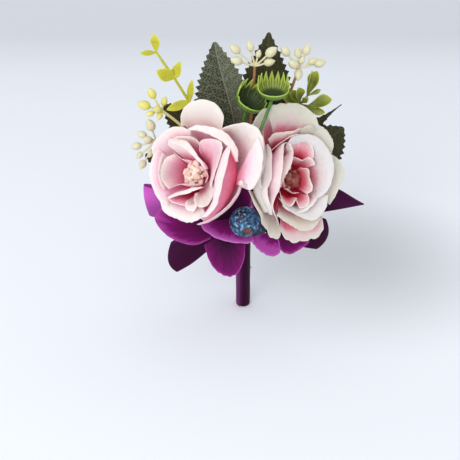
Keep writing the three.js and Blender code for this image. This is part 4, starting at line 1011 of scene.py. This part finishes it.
# Shaded layers: the right rose's petals_4 take the darker inside copy and its outer layers the shell paints,
# both partly painted shade.
SHADED_LAYERS = {"petals_4": (PALE_OUTSIDE, SHADED_PALE_INSIDE)}
SHADED_LAYERS.update({part: SHELL for part in ("petals_5", "guard_upper", "guard_lower")})
rose(
    "rose_left", PINK, {}, foot=(-19, -9.6, 47.2), axis=(-0.25, -0.83, 0.5), layers=LEFT_LAYERS,
    slot=(2, 210), path=[(-7, -6.6, 37)], lean=(0, 0), browned=0.0,
)
rose(
    "rose_right", PALE, SHADED_LAYERS, foot=(17.1, -9.3, 44), axis=(0.26, -0.82, 0.5), layers=RIGHT_LAYERS,
    slot=(2, 330), path=[(7, -6.6, 35)], lean=(-2.4, 0.4), browned=0.8,
)


# Leaves


def leaf(name, base, tip, facing, width, teeth, slot, path, paint=LEAF_DARK, widest=0.78, point=0.8,
         skew=0.0):
    """A serrated blade along its own second axis. Half its width is a power of a sine along it, cut back
    square to the margin by saw teeth at even steps of its length. It is creased along a midrib that stands
    aside by skew, falls back to the tip, swells between its side veins and waves at the margin. On a leaf
    with skew the half on the positive side of its across axis is painted paler, a painted highlight where
    that half of the fold faces the light. Its wire lies behind."""
    rows, cols = teeth * 8 + 1, 51
    crease, droop, behind = 0.18, 0.03, 0.9
    base = np.asarray(base, float)
    length = np.linalg.norm(np.subtract(tip, base))
    place = stance(base, tip, facing)

    def margin(s):
        """Half the blade's width at a share of its length."""
        return width / 2 * (0.03 + np.sin(np.pi * s**widest) ** point)

    steps = np.linspace(0, 1, 600)
    arc = np.concatenate([[0], np.hypot(np.diff(margin(steps)), length * np.diff(steps)).cumsum()])
    u = np.linspace(-1, 1, cols)[None, :]
    along = np.linspace(0, 1, rows)[:, None]
    v = np.interp(along, arc / arc[-1], steps)
    share = (along * teeth) % 1
    tooth = np.where(share < 0.78, share / 0.78, (1 - share) / 0.22)
    half = margin(v)
    slope = np.gradient(half[:, 0], v[:, 0])[:, None]
    bite = 0.75 * arc[-1] / teeth * (1 - tooth) * np.abs(u) ** 9 * np.minimum(1, 8 * half / width)
    x = u * half - bite * np.sign(u) * length / np.hypot(length, slope)
    y = length * v + bite * slope / np.hypot(length, slope) * np.minimum(1, half / 3)
    aside = x + skew * half * (1 - v) * (1 - u**2)
    rise = crease * np.abs(x) - droop * length * v**2
    vein = np.cos(2 * np.pi * (y - VEIN_SLANT * np.abs(x)) / VEIN_PITCH)
    rise = rise + 0.12 * vein * np.minimum(1, np.abs(x) / 3) + 0.35 * np.abs(u) ** 3 * np.sin(9 * v + 2 * u)
    rise = rise - 0.25 * np.exp(-((x / 0.5) ** 2))
    # Painted highlight: on a skewed leaf one half is painted paler.
    pale = 0.32 * skew * ease(4 * u + 0.3)
    grid = set_down(patch(grid_of(aside, y, rise), (x, y), tone=pale), place, base)
    blade = build(f"{name}_print", [grid], paint, [name], wall=0.3)
    shares = np.array([0.03, 0.3, 0.62])
    ribs = grid_of(0, length * shares, -droop * length * shares**2 - behind)
    flower_wire(f"{name}_wire", slot, path + list(ribs @ place.T + base))


LEAVES = {
    "leaf_tall_left": dict(
        base=(-6, -3, 56), tip=(-13.3, -2.6, 108.6), facing=(0.02, -1, 0.1), width=27, teeth=21,
        slot=(2, 90), path=[(-2.5, -2.4, 42)], paint=LEAF_GREY, skew=0.36,
    ),
    "leaf_tall_right": dict(
        base=(9, -1.6, 66), tip=(10.4, -1.8, 112.8), facing=(-0.06, -1, 0.05), width=24, teeth=18,
        slot=(2, 60), path=[(3, -1.4, 44)], point=0.9,
    ),
    "leaf_left_upper": dict(
        base=(-14, -1.5, 62), tip=(-37, -1.3, 78.6), facing=(0.06, -1, 0.05), width=20, teeth=14,
        slot=(2, 120), path=[(-6, -1.8, 45)],
    ),
    "leaf_left_lower": dict(
        base=(-18, -3, 46), tip=(-46, -2.6, 54), facing=(-0.1, -1, 0.05), width=20, teeth=14,
        slot=(2, 180), path=[(-8.5, -3.4, 35)],
    ),
    "leaf_right_upper": dict(
        base=(15, -3, 56), tip=(44, -3.2, 79.4), facing=(0.1, -1, 0.05), width=14, teeth=14,
        slot=(2, 30), path=[(7, -2.4, 43)], widest=0.6, point=2.3,
    ),
    "leaf_right_lower": dict(
        base=(18, -1.6, 43), tip=(45.6, -1.6, 67.4), facing=(0.1, -1, 0.05), width=23.5, teeth=16,
        slot=(2, 0), path=[(8.5, -2.6, 33)], widest=1.4, point=0.76,
    ),
}
for name, form in LEAVES.items():
    leaf(name, **form)


# Moulded sprigs


def sprig_leaf(base, tip, facing, width, bluntness, cup=0.25, bend=0.1, thick=0.8):
    """A thick little leaf: an ellipse of width and thickness carried from base to tip. Half its width
    is a power of a sine, widest where bluntness puts it; cup lifts its margins and bend its tip."""
    base = np.asarray(base, float)
    length = np.linalg.norm(np.subtract(tip, base))
    place = stance(base, tip, facing)
    v = np.linspace(0, 1, 26)[:, None]
    a = turns(22)
    half = width / 2 * (0.14 * (1 - v) + 0.88 * np.sin(np.pi * v**bluntness) ** 0.75)
    x = half * np.cos(a)
    wall = thick / 2 * np.minimum(1, 2.2 * np.sin(np.pi * np.clip(v, 0.02, 0.985)) ** 0.5)
    groove = 0.18 * np.exp(-((x / (0.12 * width)) ** 2)) * np.sin(np.pi * v)
    z = wall * np.sin(a) + cup * x**2 / (0.5 * width) + bend * length * v**2 - groove
    pale = 0.4 * ease((v - 0.55) / 0.45) + 0.85 * ease((np.abs(np.cos(a)) - 0.8) / 0.2) * (0.3 + 0.7 * v)
    blade = patch(grid_of(x, length * v, z), ring=True, depth=v, tone=np.clip(pale, 0, 1))
    return set_down(blade, place, base)


def bud(hub, tip, size, tint):
    """A drop-shaped bud on a thin stalk: a turned drop with a nipped point, tinted towards its foot, and
    a tapered tube."""
    hub = np.asarray(hub, float)
    tip = np.asarray(tip, float)
    place = facing_frame(tip - hub, (0.3, 0.9, 0.2))
    slimness = 1.55
    length = slimness * size
    foot = tip - place[:, 2] * length
    s = np.linspace(0, 1, 18)
    radius = 0.5 * size * np.sin(np.pi * s**0.8) ** 0.72 * (1 - 0.25 * ease((s - 0.7) / 0.3))
    profile = np.stack([radius, length * s], axis=1)
    tone = tint * (1 - s[:, None])
    drop = lathe(profile, place, foot, 16, lambda a, v: 1 + 0.05 * np.cos(4 * a) * v, tone=tone)
    neck = smooth_path([hub - place[:, 2] * 0.35, (hub + foot) / 2 + (0, -0.2, -0.2), foot + place[:, 2]], 12)
    return [drop, tube(neck, np.linspace(0.5, 0.42, 12), 8)]


def stalk(slot, path, thin=0.5, tint=0.0):
    """A sprig's moulded stalk from its free points, and its thin core down in the wire bundle."""
    inside = np.add(path[0], np.subtract(path[1], path[0]) * 0.1)
    core = smooth_path(up_the_stem(slot) + [path[0], inside], 60)
    line = smooth_path(path, 16 * len(path))
    taper = np.linspace(0.75, thin, len(line))
    return [tube(core, WIRE_RADIUS, 8, tone=tint), tube(line, taper, 12, tone=tint)]


def sprig(name, paint, grids):
    """One moulded sprig from its stalk and its leaves or buds."""
    build(f"{name}_moulding", grids, paint, [name], closed=True)


LIME_NODES = [(-24.9, -6, 82.6), (-31.3, -6, 93.9), (-38.7, -6, 105.7)]
LIME_LEAVES = [
    (2, (-39, -6, 114.4), 4.6, 1.5),
    (2, (-46, -9, 106.5), 2.6, 1.2),
    (1, (-39, -9, 99), 6.6, 0.95),
    (1, (-28, -6.5, 102), 4.6, 0.8),
    (0, (-23, -6.5, 93.6), 3.4, 1.0),
    (0, (-35, -8.5, 79.6), 4.4, 1.0),
]
lime_grids = stalk((1, 120), [(-10, -4.6, 54), (-17, -5.4, 68), *LIME_NODES], 0.55)
lime_grids += [sprig_leaf(LIME_NODES[k], t, (-0.3, -1, 0.3), w, b) for k, t, w, b in LIME_LEAVES]
sprig("sprig_lime", LIME, lime_grids)


def bud_sprig(name, paint, slot, path, buds, tint, stalk_tint):
    """A stalk with buds all round its end; each bud is its point's place and its size."""
    grids = stalk(slot, path, 0.6, stalk_tint)
    for *tip, size in buds:
        grids += bud(path[-1], tip, size, tint)
    sprig(name, paint, grids)


BUD_SPRIGS = {
    "sprig_cream_left_upper": dict(
        paint=YELLOW, tint=0.9, stalk_tint=0.0, slot=(2, 150),
        path=[(-15, -4.6, 52), (-28, -6, 70), (-37.1, -10, 80.2)],
        buds=[(-42.5, -10, 91, 3.8), (-48, -12, 84.5, 4.4), (-35, -9, 86.5, 3), (-40, -15, 83, 3.4),
              (-44, -14, 79.5, 2.8), (-38.5, -13, 76.5, 2.8)],
    ),
    "sprig_cream_left_lower": dict(
        paint=CREAM, tint=0.05, stalk_tint=0.35, slot=(1, 180),
        path=[(-19, -5.2, 50), (-31, -6, 59), (-40, -9.5, 65)],
        buds=[(-43, -12.5, 77, 4.4), (-49, -10, 69.5, 3.6), (-46, -13, 67.5, 3.4), (-52, -10, 61.6, 3.6),
              (-48, -10.5, 51, 3.4), (-43.5, -13, 58, 2.8), (-49.5, -11.5, 57, 2.8)],
    ),
    "sprig_cream_middle": dict(
        paint=CREAM, tint=0.05, stalk_tint=0.95, slot=(1, 60),
        path=[(1.8, -5, 58), (3.6, -4.9, 82), (4.4, -8, 100.4)],
        buds=[(-6.5, -10, 110.6, 3.8), (-6.5, -12, 105, 4), (1.5, -8, 111.8, 3.4), (13.7, -10, 109.6, 4.2),
              (13.2, -10.5, 103.6, 3.6), (6.5, -7, 107.5, 2.6)],
    ),
    "sprig_cream_right": dict(
        paint=CREAM, tint=0.1, stalk_tint=0.95, slot=(0, 0),
        path=[(8.4, -5.4, 58), (18, -5.6, 80), (23.8, -6.4, 98.9)],
        buds=[(15.6, -6.4, 108.8, 3.8), (22.9, -6.4, 108.8, 3.6), (28, -6.4, 109.8, 3.6),
              (32, -6.4, 103, 3.2), (35.8, -6.6, 101.6, 3.8), (19, -10, 103.2, 4.2),
              (23.2, -10.5, 94.2, 3.8), (25.6, -7, 104.6, 2.8)],
    ),
}
for name, form in BUD_SPRIGS.items():
    bud_sprig(name, **form)

OLIVE_HUB = (24.6, -10.6, 83.4)
OLIVE_FORK = (27.6, -10, 86.8)
OLIVE_LEAVES = [
    (OLIVE_FORK, (27.8, -9.2, 98.8), 4.4, (0.9, -0.7, 0.2)),
    (OLIVE_FORK, (32.4, -10, 99), 6.0, (-0.5, -1, 0.2)),
    ((25.8, -10.8, 81.6), (38.9, -13, 85.6), 6.6, (-0.2, -0.8, 0.9)),
    (OLIVE_HUB, (35.8, -10.6, 80.2), 4.4, (0, -1, -0.2)),
    (OLIVE_FORK, (33.4, -8.6, 89.6), 2.4, (0, -1, 0.2)),
    (OLIVE_HUB, (22.6, -13.2, 93), 5.2, (0.5, -1, 0)),
    (OLIVE_HUB, (15.8, -12, 87.8), 5.2, (0.4, -0.9, 0.6)),
    (OLIVE_HUB, (19.4, -10.4, 89.6), 4.6, (0.5, -1, 0.3)),
    (OLIVE_HUB, (28.4, -14.4, 88.6), 3.2, (-0.4, -1, 0.1)),
]
olive_grids = stalk((1, 0), [(12.4, -4.4, 50), (20, -6, 70), OLIVE_HUB], 0.6)
olive_grids += [tube(smooth_path([OLIVE_HUB, OLIVE_FORK], 6), 0.55, 10)]
olive_grids += [sprig_leaf(b, t, f, w, 2.1, 0.75, 0.16, 0.6) for b, t, w, f in OLIVE_LEAVES]
sprig("sprig_olive", OLIVE, olive_grids)


def fringed_cup(name, middle, opens, back, radius, depth, slot, path, teeth, flush):
    """A bowl whose far rim is cut into long teeth. The bowl's curve is followed to a share of its
    length that is least at the near rim and runs up into a saw of points at the far one. Flush is where
    along the curve the ribs begin to pale."""
    near_share, far_share = 0.62, 0.4
    middle = np.asarray(middle, float)
    place = facing_frame(opens, back)
    a = turns(240)
    v = np.linspace(0, 1, 40)[:, None]
    behind = np.abs((a - np.pi / 2 + np.pi) % (2 * np.pi) - np.pi) / np.pi
    fringe = ease((0.66 - behind) / 0.3)
    comb = np.abs(((behind * teeth) % 1) * 2 - 1)
    reach = near_share + far_share * fringe * (0.1 + 0.9 * comb**0.85)
    t = v * reach
    c = np.array([[0.5, 0], [radius, 0], [1.15 * radius, 0.6 * depth], [radius, 1.5 * depth]])
    blend = ((1 - t) ** 3, 3 * (1 - t) ** 2 * t, 3 * (1 - t) * t**2, t**3)
    r = sum(b * q[0] for b, q in zip(blend, c))
    z = sum(b * q[1] for b, q in zip(blend, c))
    r = r * (1 + 0.03 * v * fringe * np.cos(2 * np.pi * behind * teeth))
    ribs = (0.5 - 0.5 * np.cos(4 * np.pi * behind * teeth)) * v
    paling = fringe * ease((t - flush) / 0.2)
    groove = (0.22 + 0.6 * paling) * ribs
    lip = ease((v - 0.93) / 0.07) * (0.3 + 0.6 * (1 - fringe)) + 0.75 * ease((t - 0.66) / 0.3)
    tone = np.clip(lip + groove + 0.3 * paling, 0, 1)
    bowl = set_down(patch(grid_of(r * np.cos(a), r * np.sin(a), z), ring=True, tone=tone), place, middle)
    # The lining paints the shade inside the bowl.
    build(f"{name}_moulding", [bowl], CUP, [name], wall=0.45, lining=SHADED_CUP_HOLLOW)
    heel = middle + place[:, 2] * 0.4
    build(f"{name}_stalk_moulding", stalk(slot, path + [heel], 0.7), CUP, [], closed=True)


fringed_cup(
    "fringed_cup_left", middle=(0.9, -13, 82.8), opens=(0.42, -0.2, 0.88), back=(-0.35, 0.9, 0), radius=6.8,
    depth=7, teeth=7, flush=0.75, slot=(1, 240), path=[(-1.2, -9.4, 50), (-1.2, -12, 72)],
)
fringed_cup(
    "fringed_cup_right", middle=(12.2, -18, 89.9), opens=(0.02, -0.1, 0.99), back=(-0.1, 1, 0), radius=6.5,
    depth=6, teeth=8, flush=0.28, slot=(1, 300),
    path=[(0.8, -10.6, 48), (2, -17.5, 62), (4.6, -25.4, 71.6), (7.4, -25.2, 79.4), (10.8, -20.6, 87.2)],
)


# Blueberries


def blueberry(name, middle, crown, diameter, painted_shade=0.0):
    """A ball with a sunken scar at the crown, leaf-shaped: its half width is a parabola of its length.
    A low lip stands round the scar, and the radius swells and shrinks by low waves of the two angles."""
    place = facing_frame(crown)
    lat = np.linspace(np.pi, 0, 60)[:, None]
    lon = turns(72)
    waves = 1 + 0.012 * np.sin(3 * lon + 2 * lat) * np.sin(lat) + 0.01 * np.sin(5 * lat)
    slant = lon - np.radians(148)
    half_length, half_width = 0.42, 0.2
    near_crown = lat < 1
    long = lat * np.cos(slant)
    wide = np.abs(lat * np.sin(slant))
    scar_edge = half_width * (1 - (long / half_length) ** 2) - wide
    lip = 0.03 * np.exp(-((scar_edge / 0.06) ** 2)) * near_crown
    pit = 0.05 * ease(scar_edge / 0.1) * near_crown
    r = diameter / 2 * (waves + lip - pit)
    local = grid_of(r * np.sin(lat) * np.cos(lon), r * np.sin(lat) * np.sin(lon), r * np.cos(lat))
    scar = ease(scar_edge / 0.04) * near_crown
    ball = set_down(patch(local, ring=True, tone=scar, depth=painted_shade), place, middle)
    build(f"{name}_foam", [ball], BERRY, [name], closed=True)


FRONT_BERRY = ((0.2, -30, 34.3), (0.15, -0.97, -0.12), 14)
BACK_BERRY = ((4.4, -14.4, 22), (0.3, -0.55, -0.78), 12)
blueberry("blueberry_front", *FRONT_BERRY)
# The back berry sits behind the front one and takes the painted shade.
blueberry("blueberry_back", *BACK_BERRY, painted_shade=1.0)


def berry_fork(middle, crown, diameter):
    """Points of a wire that runs into the foot of a berry."""
    return [middle + unit(crown) * (d - diameter / 2) for d in (-4, -0.5, 2.7)]


FORK = (1.4, -11.6, 31)
front_route = smooth_path(up_the_stem((2, 270)) + [(0.2, -8.6, 29), FORK] + berry_fork(*FRONT_BERRY), 90)
back_route = smooth_path([FORK] + berry_fork(*BACK_BERRY), 30)
forks = [tube(front_route, WIRE_RADIUS), tube(back_route, WIRE_RADIUS)]
build("blueberry_wires_round", forks, WIRE, ["blueberry_wires"], closed=True)


# Florets


def floret(name, middle, axis, petals, slot, path):
    """Loose cloth petals round a bead on a wire. Each is given by its own foot and by the points of its
    rim, in the frame's millimetres, and swells between them as a shallow bowl."""
    middle = np.asarray(middle, float)
    place = facing_frame(axis)
    grids = []
    for k, (foot, rim, values) in enumerate(petals):
        local = np.subtract(rim, foot) @ place
        made = petal(local, 0.0, 0.45, 0.8, hole=0.65, seed=hash_of(name) + 7 * k, **values)
        grids.append(set_down(made, place, foot))
    piece = build(f"{name}_cloth", grids, PURPLE, [name], wall=CLOTH_WALL)
    s = np.linspace(0, np.pi, 12)
    bead = lathe(np.stack([1.7 * np.sin(s), 2.2 - 1.7 * np.cos(s)], axis=1), place, middle, 20)
    collar = lathe([(0, -1.9), (0.7, -1.9), (1.3, -0.55), (0, -0.5)], place, middle, 16)
    entry = [middle + place[:, 2] * d for d in (-5, 1.7)]
    route = smooth_path(up_the_stem(slot) + path + entry, 90)
    grids = [tube(route, WIRE_RADIUS), bead, collar]
    build(f"{name}_wire_round", grids, WIRE, [f"{name}_wire"], closed=True)


LEFT_FLORET = [
    (
        (-12, -19.8, 25),
        [(-31, -15, 38), (-37.5, -18, 35.5), (-39.6, -22, 31.7), (-35.5, -26, 25.8), (-29.3, -28, 22.1),
         (-22.2, -28, 21.3), (-15.3, -25, 22.9)],
        {"roll": 30, "wave": 0.9, "tone": 0.06, "pale": 0.15},
    ),
    (
        (-9, -19.5, 25.5),
        [(-18.6, -24, 18.6), (-15.4, -28, 12), (-11.4, -31, 8.2), (-7, -32, 7), (-3, -31.4, 8.8),
         (-0.6, -29, 13.4), (0.2, -24, 19.7)],
        {"roll": 15, "wave": 0.6, "tone": -0.26, "pale": 0.12},
    ),
    (
        (-4.5, -18.5, 30.5),
        [(3.4, -24, 24.4), (3.1, -27, 22.7), (-3.3, -28, 22.9), (-8.2, -27.4, 23.7), (-13.1, -26, 25),
         (-18.4, -22.6, 27.6), (-18.6, -19.4, 29.6)],
        {"roll": 25, "wave": 0.2, "tone": 0.14, "lip": (0.8, 1.3, 1.0)},
    ),
    # Back petal between the roses: its dark tone partly paints the shade there.
    (
        (-8, -19.5, 25),
        [(0.5, -16, 27), (3, -13.5, 34), (2.5, -12.5, 41), (-1.5, -12, 45), (-6, -12.2, 43), (-11, -12.5, 38),
         (-17, -15, 32)],
        {"roll": 10, "wave": 0.4, "tone": -0.3},
    ),
]
RIGHT_FLORET = [
    (
        (15, -18.5, 24.2),
        [(3.2, -22.5, 22.4), (4.4, -25, 19.6), (7.6, -27, 17.6), (12.3, -28.4, 16), (16.4, -28, 17.6),
         (16.2, -24, 20.5)],
        {"roll": 15, "wave": 1.2, "tone": 0.36, "pale": 0.9},
    ),
    (
        (17.4, -18.5, 24),
        [(13.8, -24, 20), (17.2, -27.4, 17.7), (22.2, -28, 17), (27.4, -26, 19), (28.6, -22.5, 21.4),
         (26, -18, 24)],
        {"roll": 25, "wave": 0.9, "tone": -0.06, "pale": 0.1},
    ),
    (
        (17.2, -18.3, 24.4),
        [(27.5, -19.4, 24), (28.5, -14.6, 27.5), (25, -11, 31.5), (19.5, -10.4, 32)],
        {"roll": 10, "wave": 0.4},
    ),
    # Back petal between the roses: its dark tone partly paints the shade there.
    (
        (16, -18.3, 24.4),
        [(18, -10.6, 33), (12, -11, 37), (6.5, -12.5, 37), (4, -14, 32), (5.5, -18.5, 26)],
        {"roll": 10, "wave": 0.4, "tone": -0.2},
    ),
]
floret("floret_left", (-12, -20.5, 23), (-0.05, -0.7, 0.7), LEFT_FLORET, (2, 240), [(-4.4, -9.4, 27)])
RIGHT_FLORET_WIRE = [(4.8, -8.8, 27.4), (9.6, -9.6, 25.4)]
floret("floret_right", (16.5, -18.5, 23.5), (0.1, -0.7, 0.7), RIGHT_FLORET, (2, 300), RIGHT_FLORET_WIRE)


# Bar pin: the solids have the right shape, and take the plated finish

for part in ("pin_plate", "pin_rivet", "pin_needle", "pin_catch"):
    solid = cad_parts[part]
    solid.data.materials.clear()
    solid.data.materials.append(NICKEL)


# Floor, light and camera


SHADE_AT = (68.0, 34.0, STEM_FOOT)
SHADE_REACH = 90.0
PAPER_NEAR = -112.0
PAPER_DEEP = 600.0


def floor_paint():
    """Pale paper with painted light falloff that darkens it away from the viewer, and a painted shadow round
    the place where the flowers keep the window's light off it: there by the square of one less the squared
    share of the shade's reach."""
    p = Paint("floor_paper", Roughness=0.85, Specular_IOR_Level=0.2)
    y = p.node("ShaderNodeSeparateXYZ", i0=p.place).outputs[1]
    away = p.math("DIVIDE", p.math("SUBTRACT", y, PAPER_NEAR), PAPER_DEEP, clamp=True)
    ends = [(0.0, (230, 234, 240)), (1.0, (211, 215, 221))]
    near = [(0.25, (232, 235, 242)), (0.6, (227, 231, 238))]
    far = [(0.7, (224, 228, 235)), (0.85, (210, 213, 220))]
    # Painted light falloff away from the viewer.
    paper = p.ramp(away, ends + near + far)
    gap = p.node("ShaderNodeVectorMath", {"operation": "DISTANCE"}, i0=p.place, i1=SHADE_AT).outputs["Value"]
    share = p.math("POWER", p.math("DIVIDE", gap, SHADE_REACH), 2.0)
    shade = p.math("POWER", p.math("SUBTRACT", 1.0, share, clamp=True), 2.0)
    # Painted shadow of the flowers, darkest at SHADE_AT.
    return p.coat(p.mix(p.math("MULTIPLY", shade, 0.52), paper, ink(150, 152, 157)))


FLOOR_HALF = 3.0
FLOOR_Z = STEM_FOOT * MM
floor_mesh = bpy.data.meshes.new("floor")
floor_corners = [(FLOOR_HALF * x, FLOOR_HALF * y, FLOOR_Z) for x, y in ((-1, -1), (1, -1), (1, 1), (-1, 1))]
floor_mesh.from_pydata(floor_corners, [], [(0, 1, 2, 3)])
floor_mesh.materials.append(floor_paint())
floor = bpy.data.objects.new("floor", floor_mesh)
bpy.context.scene.collection.objects.link(floor)


def area_lamp(name, spot, aim, size, watts, colour):
    """A square soft lamp that points at its aim."""
    lamp = bpy.data.lights.new(name, "AREA")
    lamp.size = size
    lamp.energy = watts
    lamp.color = colour
    holder = bpy.data.objects.new(name, lamp)
    holder.location = spot
    holder.rotation_euler = (Vector(aim) - Vector(spot)).to_track_quat("-Z", "Y").to_euler()
    bpy.context.scene.collection.objects.link(holder)


AIM = (0.0, -0.01, 0.04)
area_lamp("window", (-0.42, -0.88, 0.62), AIM, 0.6, 3.9, (1.0, 0.985, 0.97))
area_lamp("front_fill", (-0.22, -0.95, 0.46), AIM, 0.8, 2.3, (1.0, 0.99, 0.98))

world = bpy.data.worlds.new("room")
world.use_nodes = True
room = world.node_tree.nodes["Background"]
room.inputs["Color"].default_value = (0.96, 0.98, 1.0, 1.0)
room.inputs["Strength"].default_value = 0.93
bpy.context.scene.world = world

lens = bpy.data.cameras.new("camera")
lens.lens = 80
lens.sensor_width = 36
lens.clip_start = 0.01
lens.clip_end = 20
camera = bpy.data.objects.new("camera", lens)
CAMERA_AT = Vector((-0.006538, -0.431557, 0.261838))
CAMERA_AIM = Vector((-0.006538, -0.010, 0.018452))
camera.location = CAMERA_AT
camera.rotation_euler = (CAMERA_AIM - CAMERA_AT).to_track_quat("-Z", "Y").to_euler()
bpy.context.scene.collection.objects.link(camera)
bpy.context.scene.camera = camera
bpy.context.scene.view_settings.view_transform = "Standard"
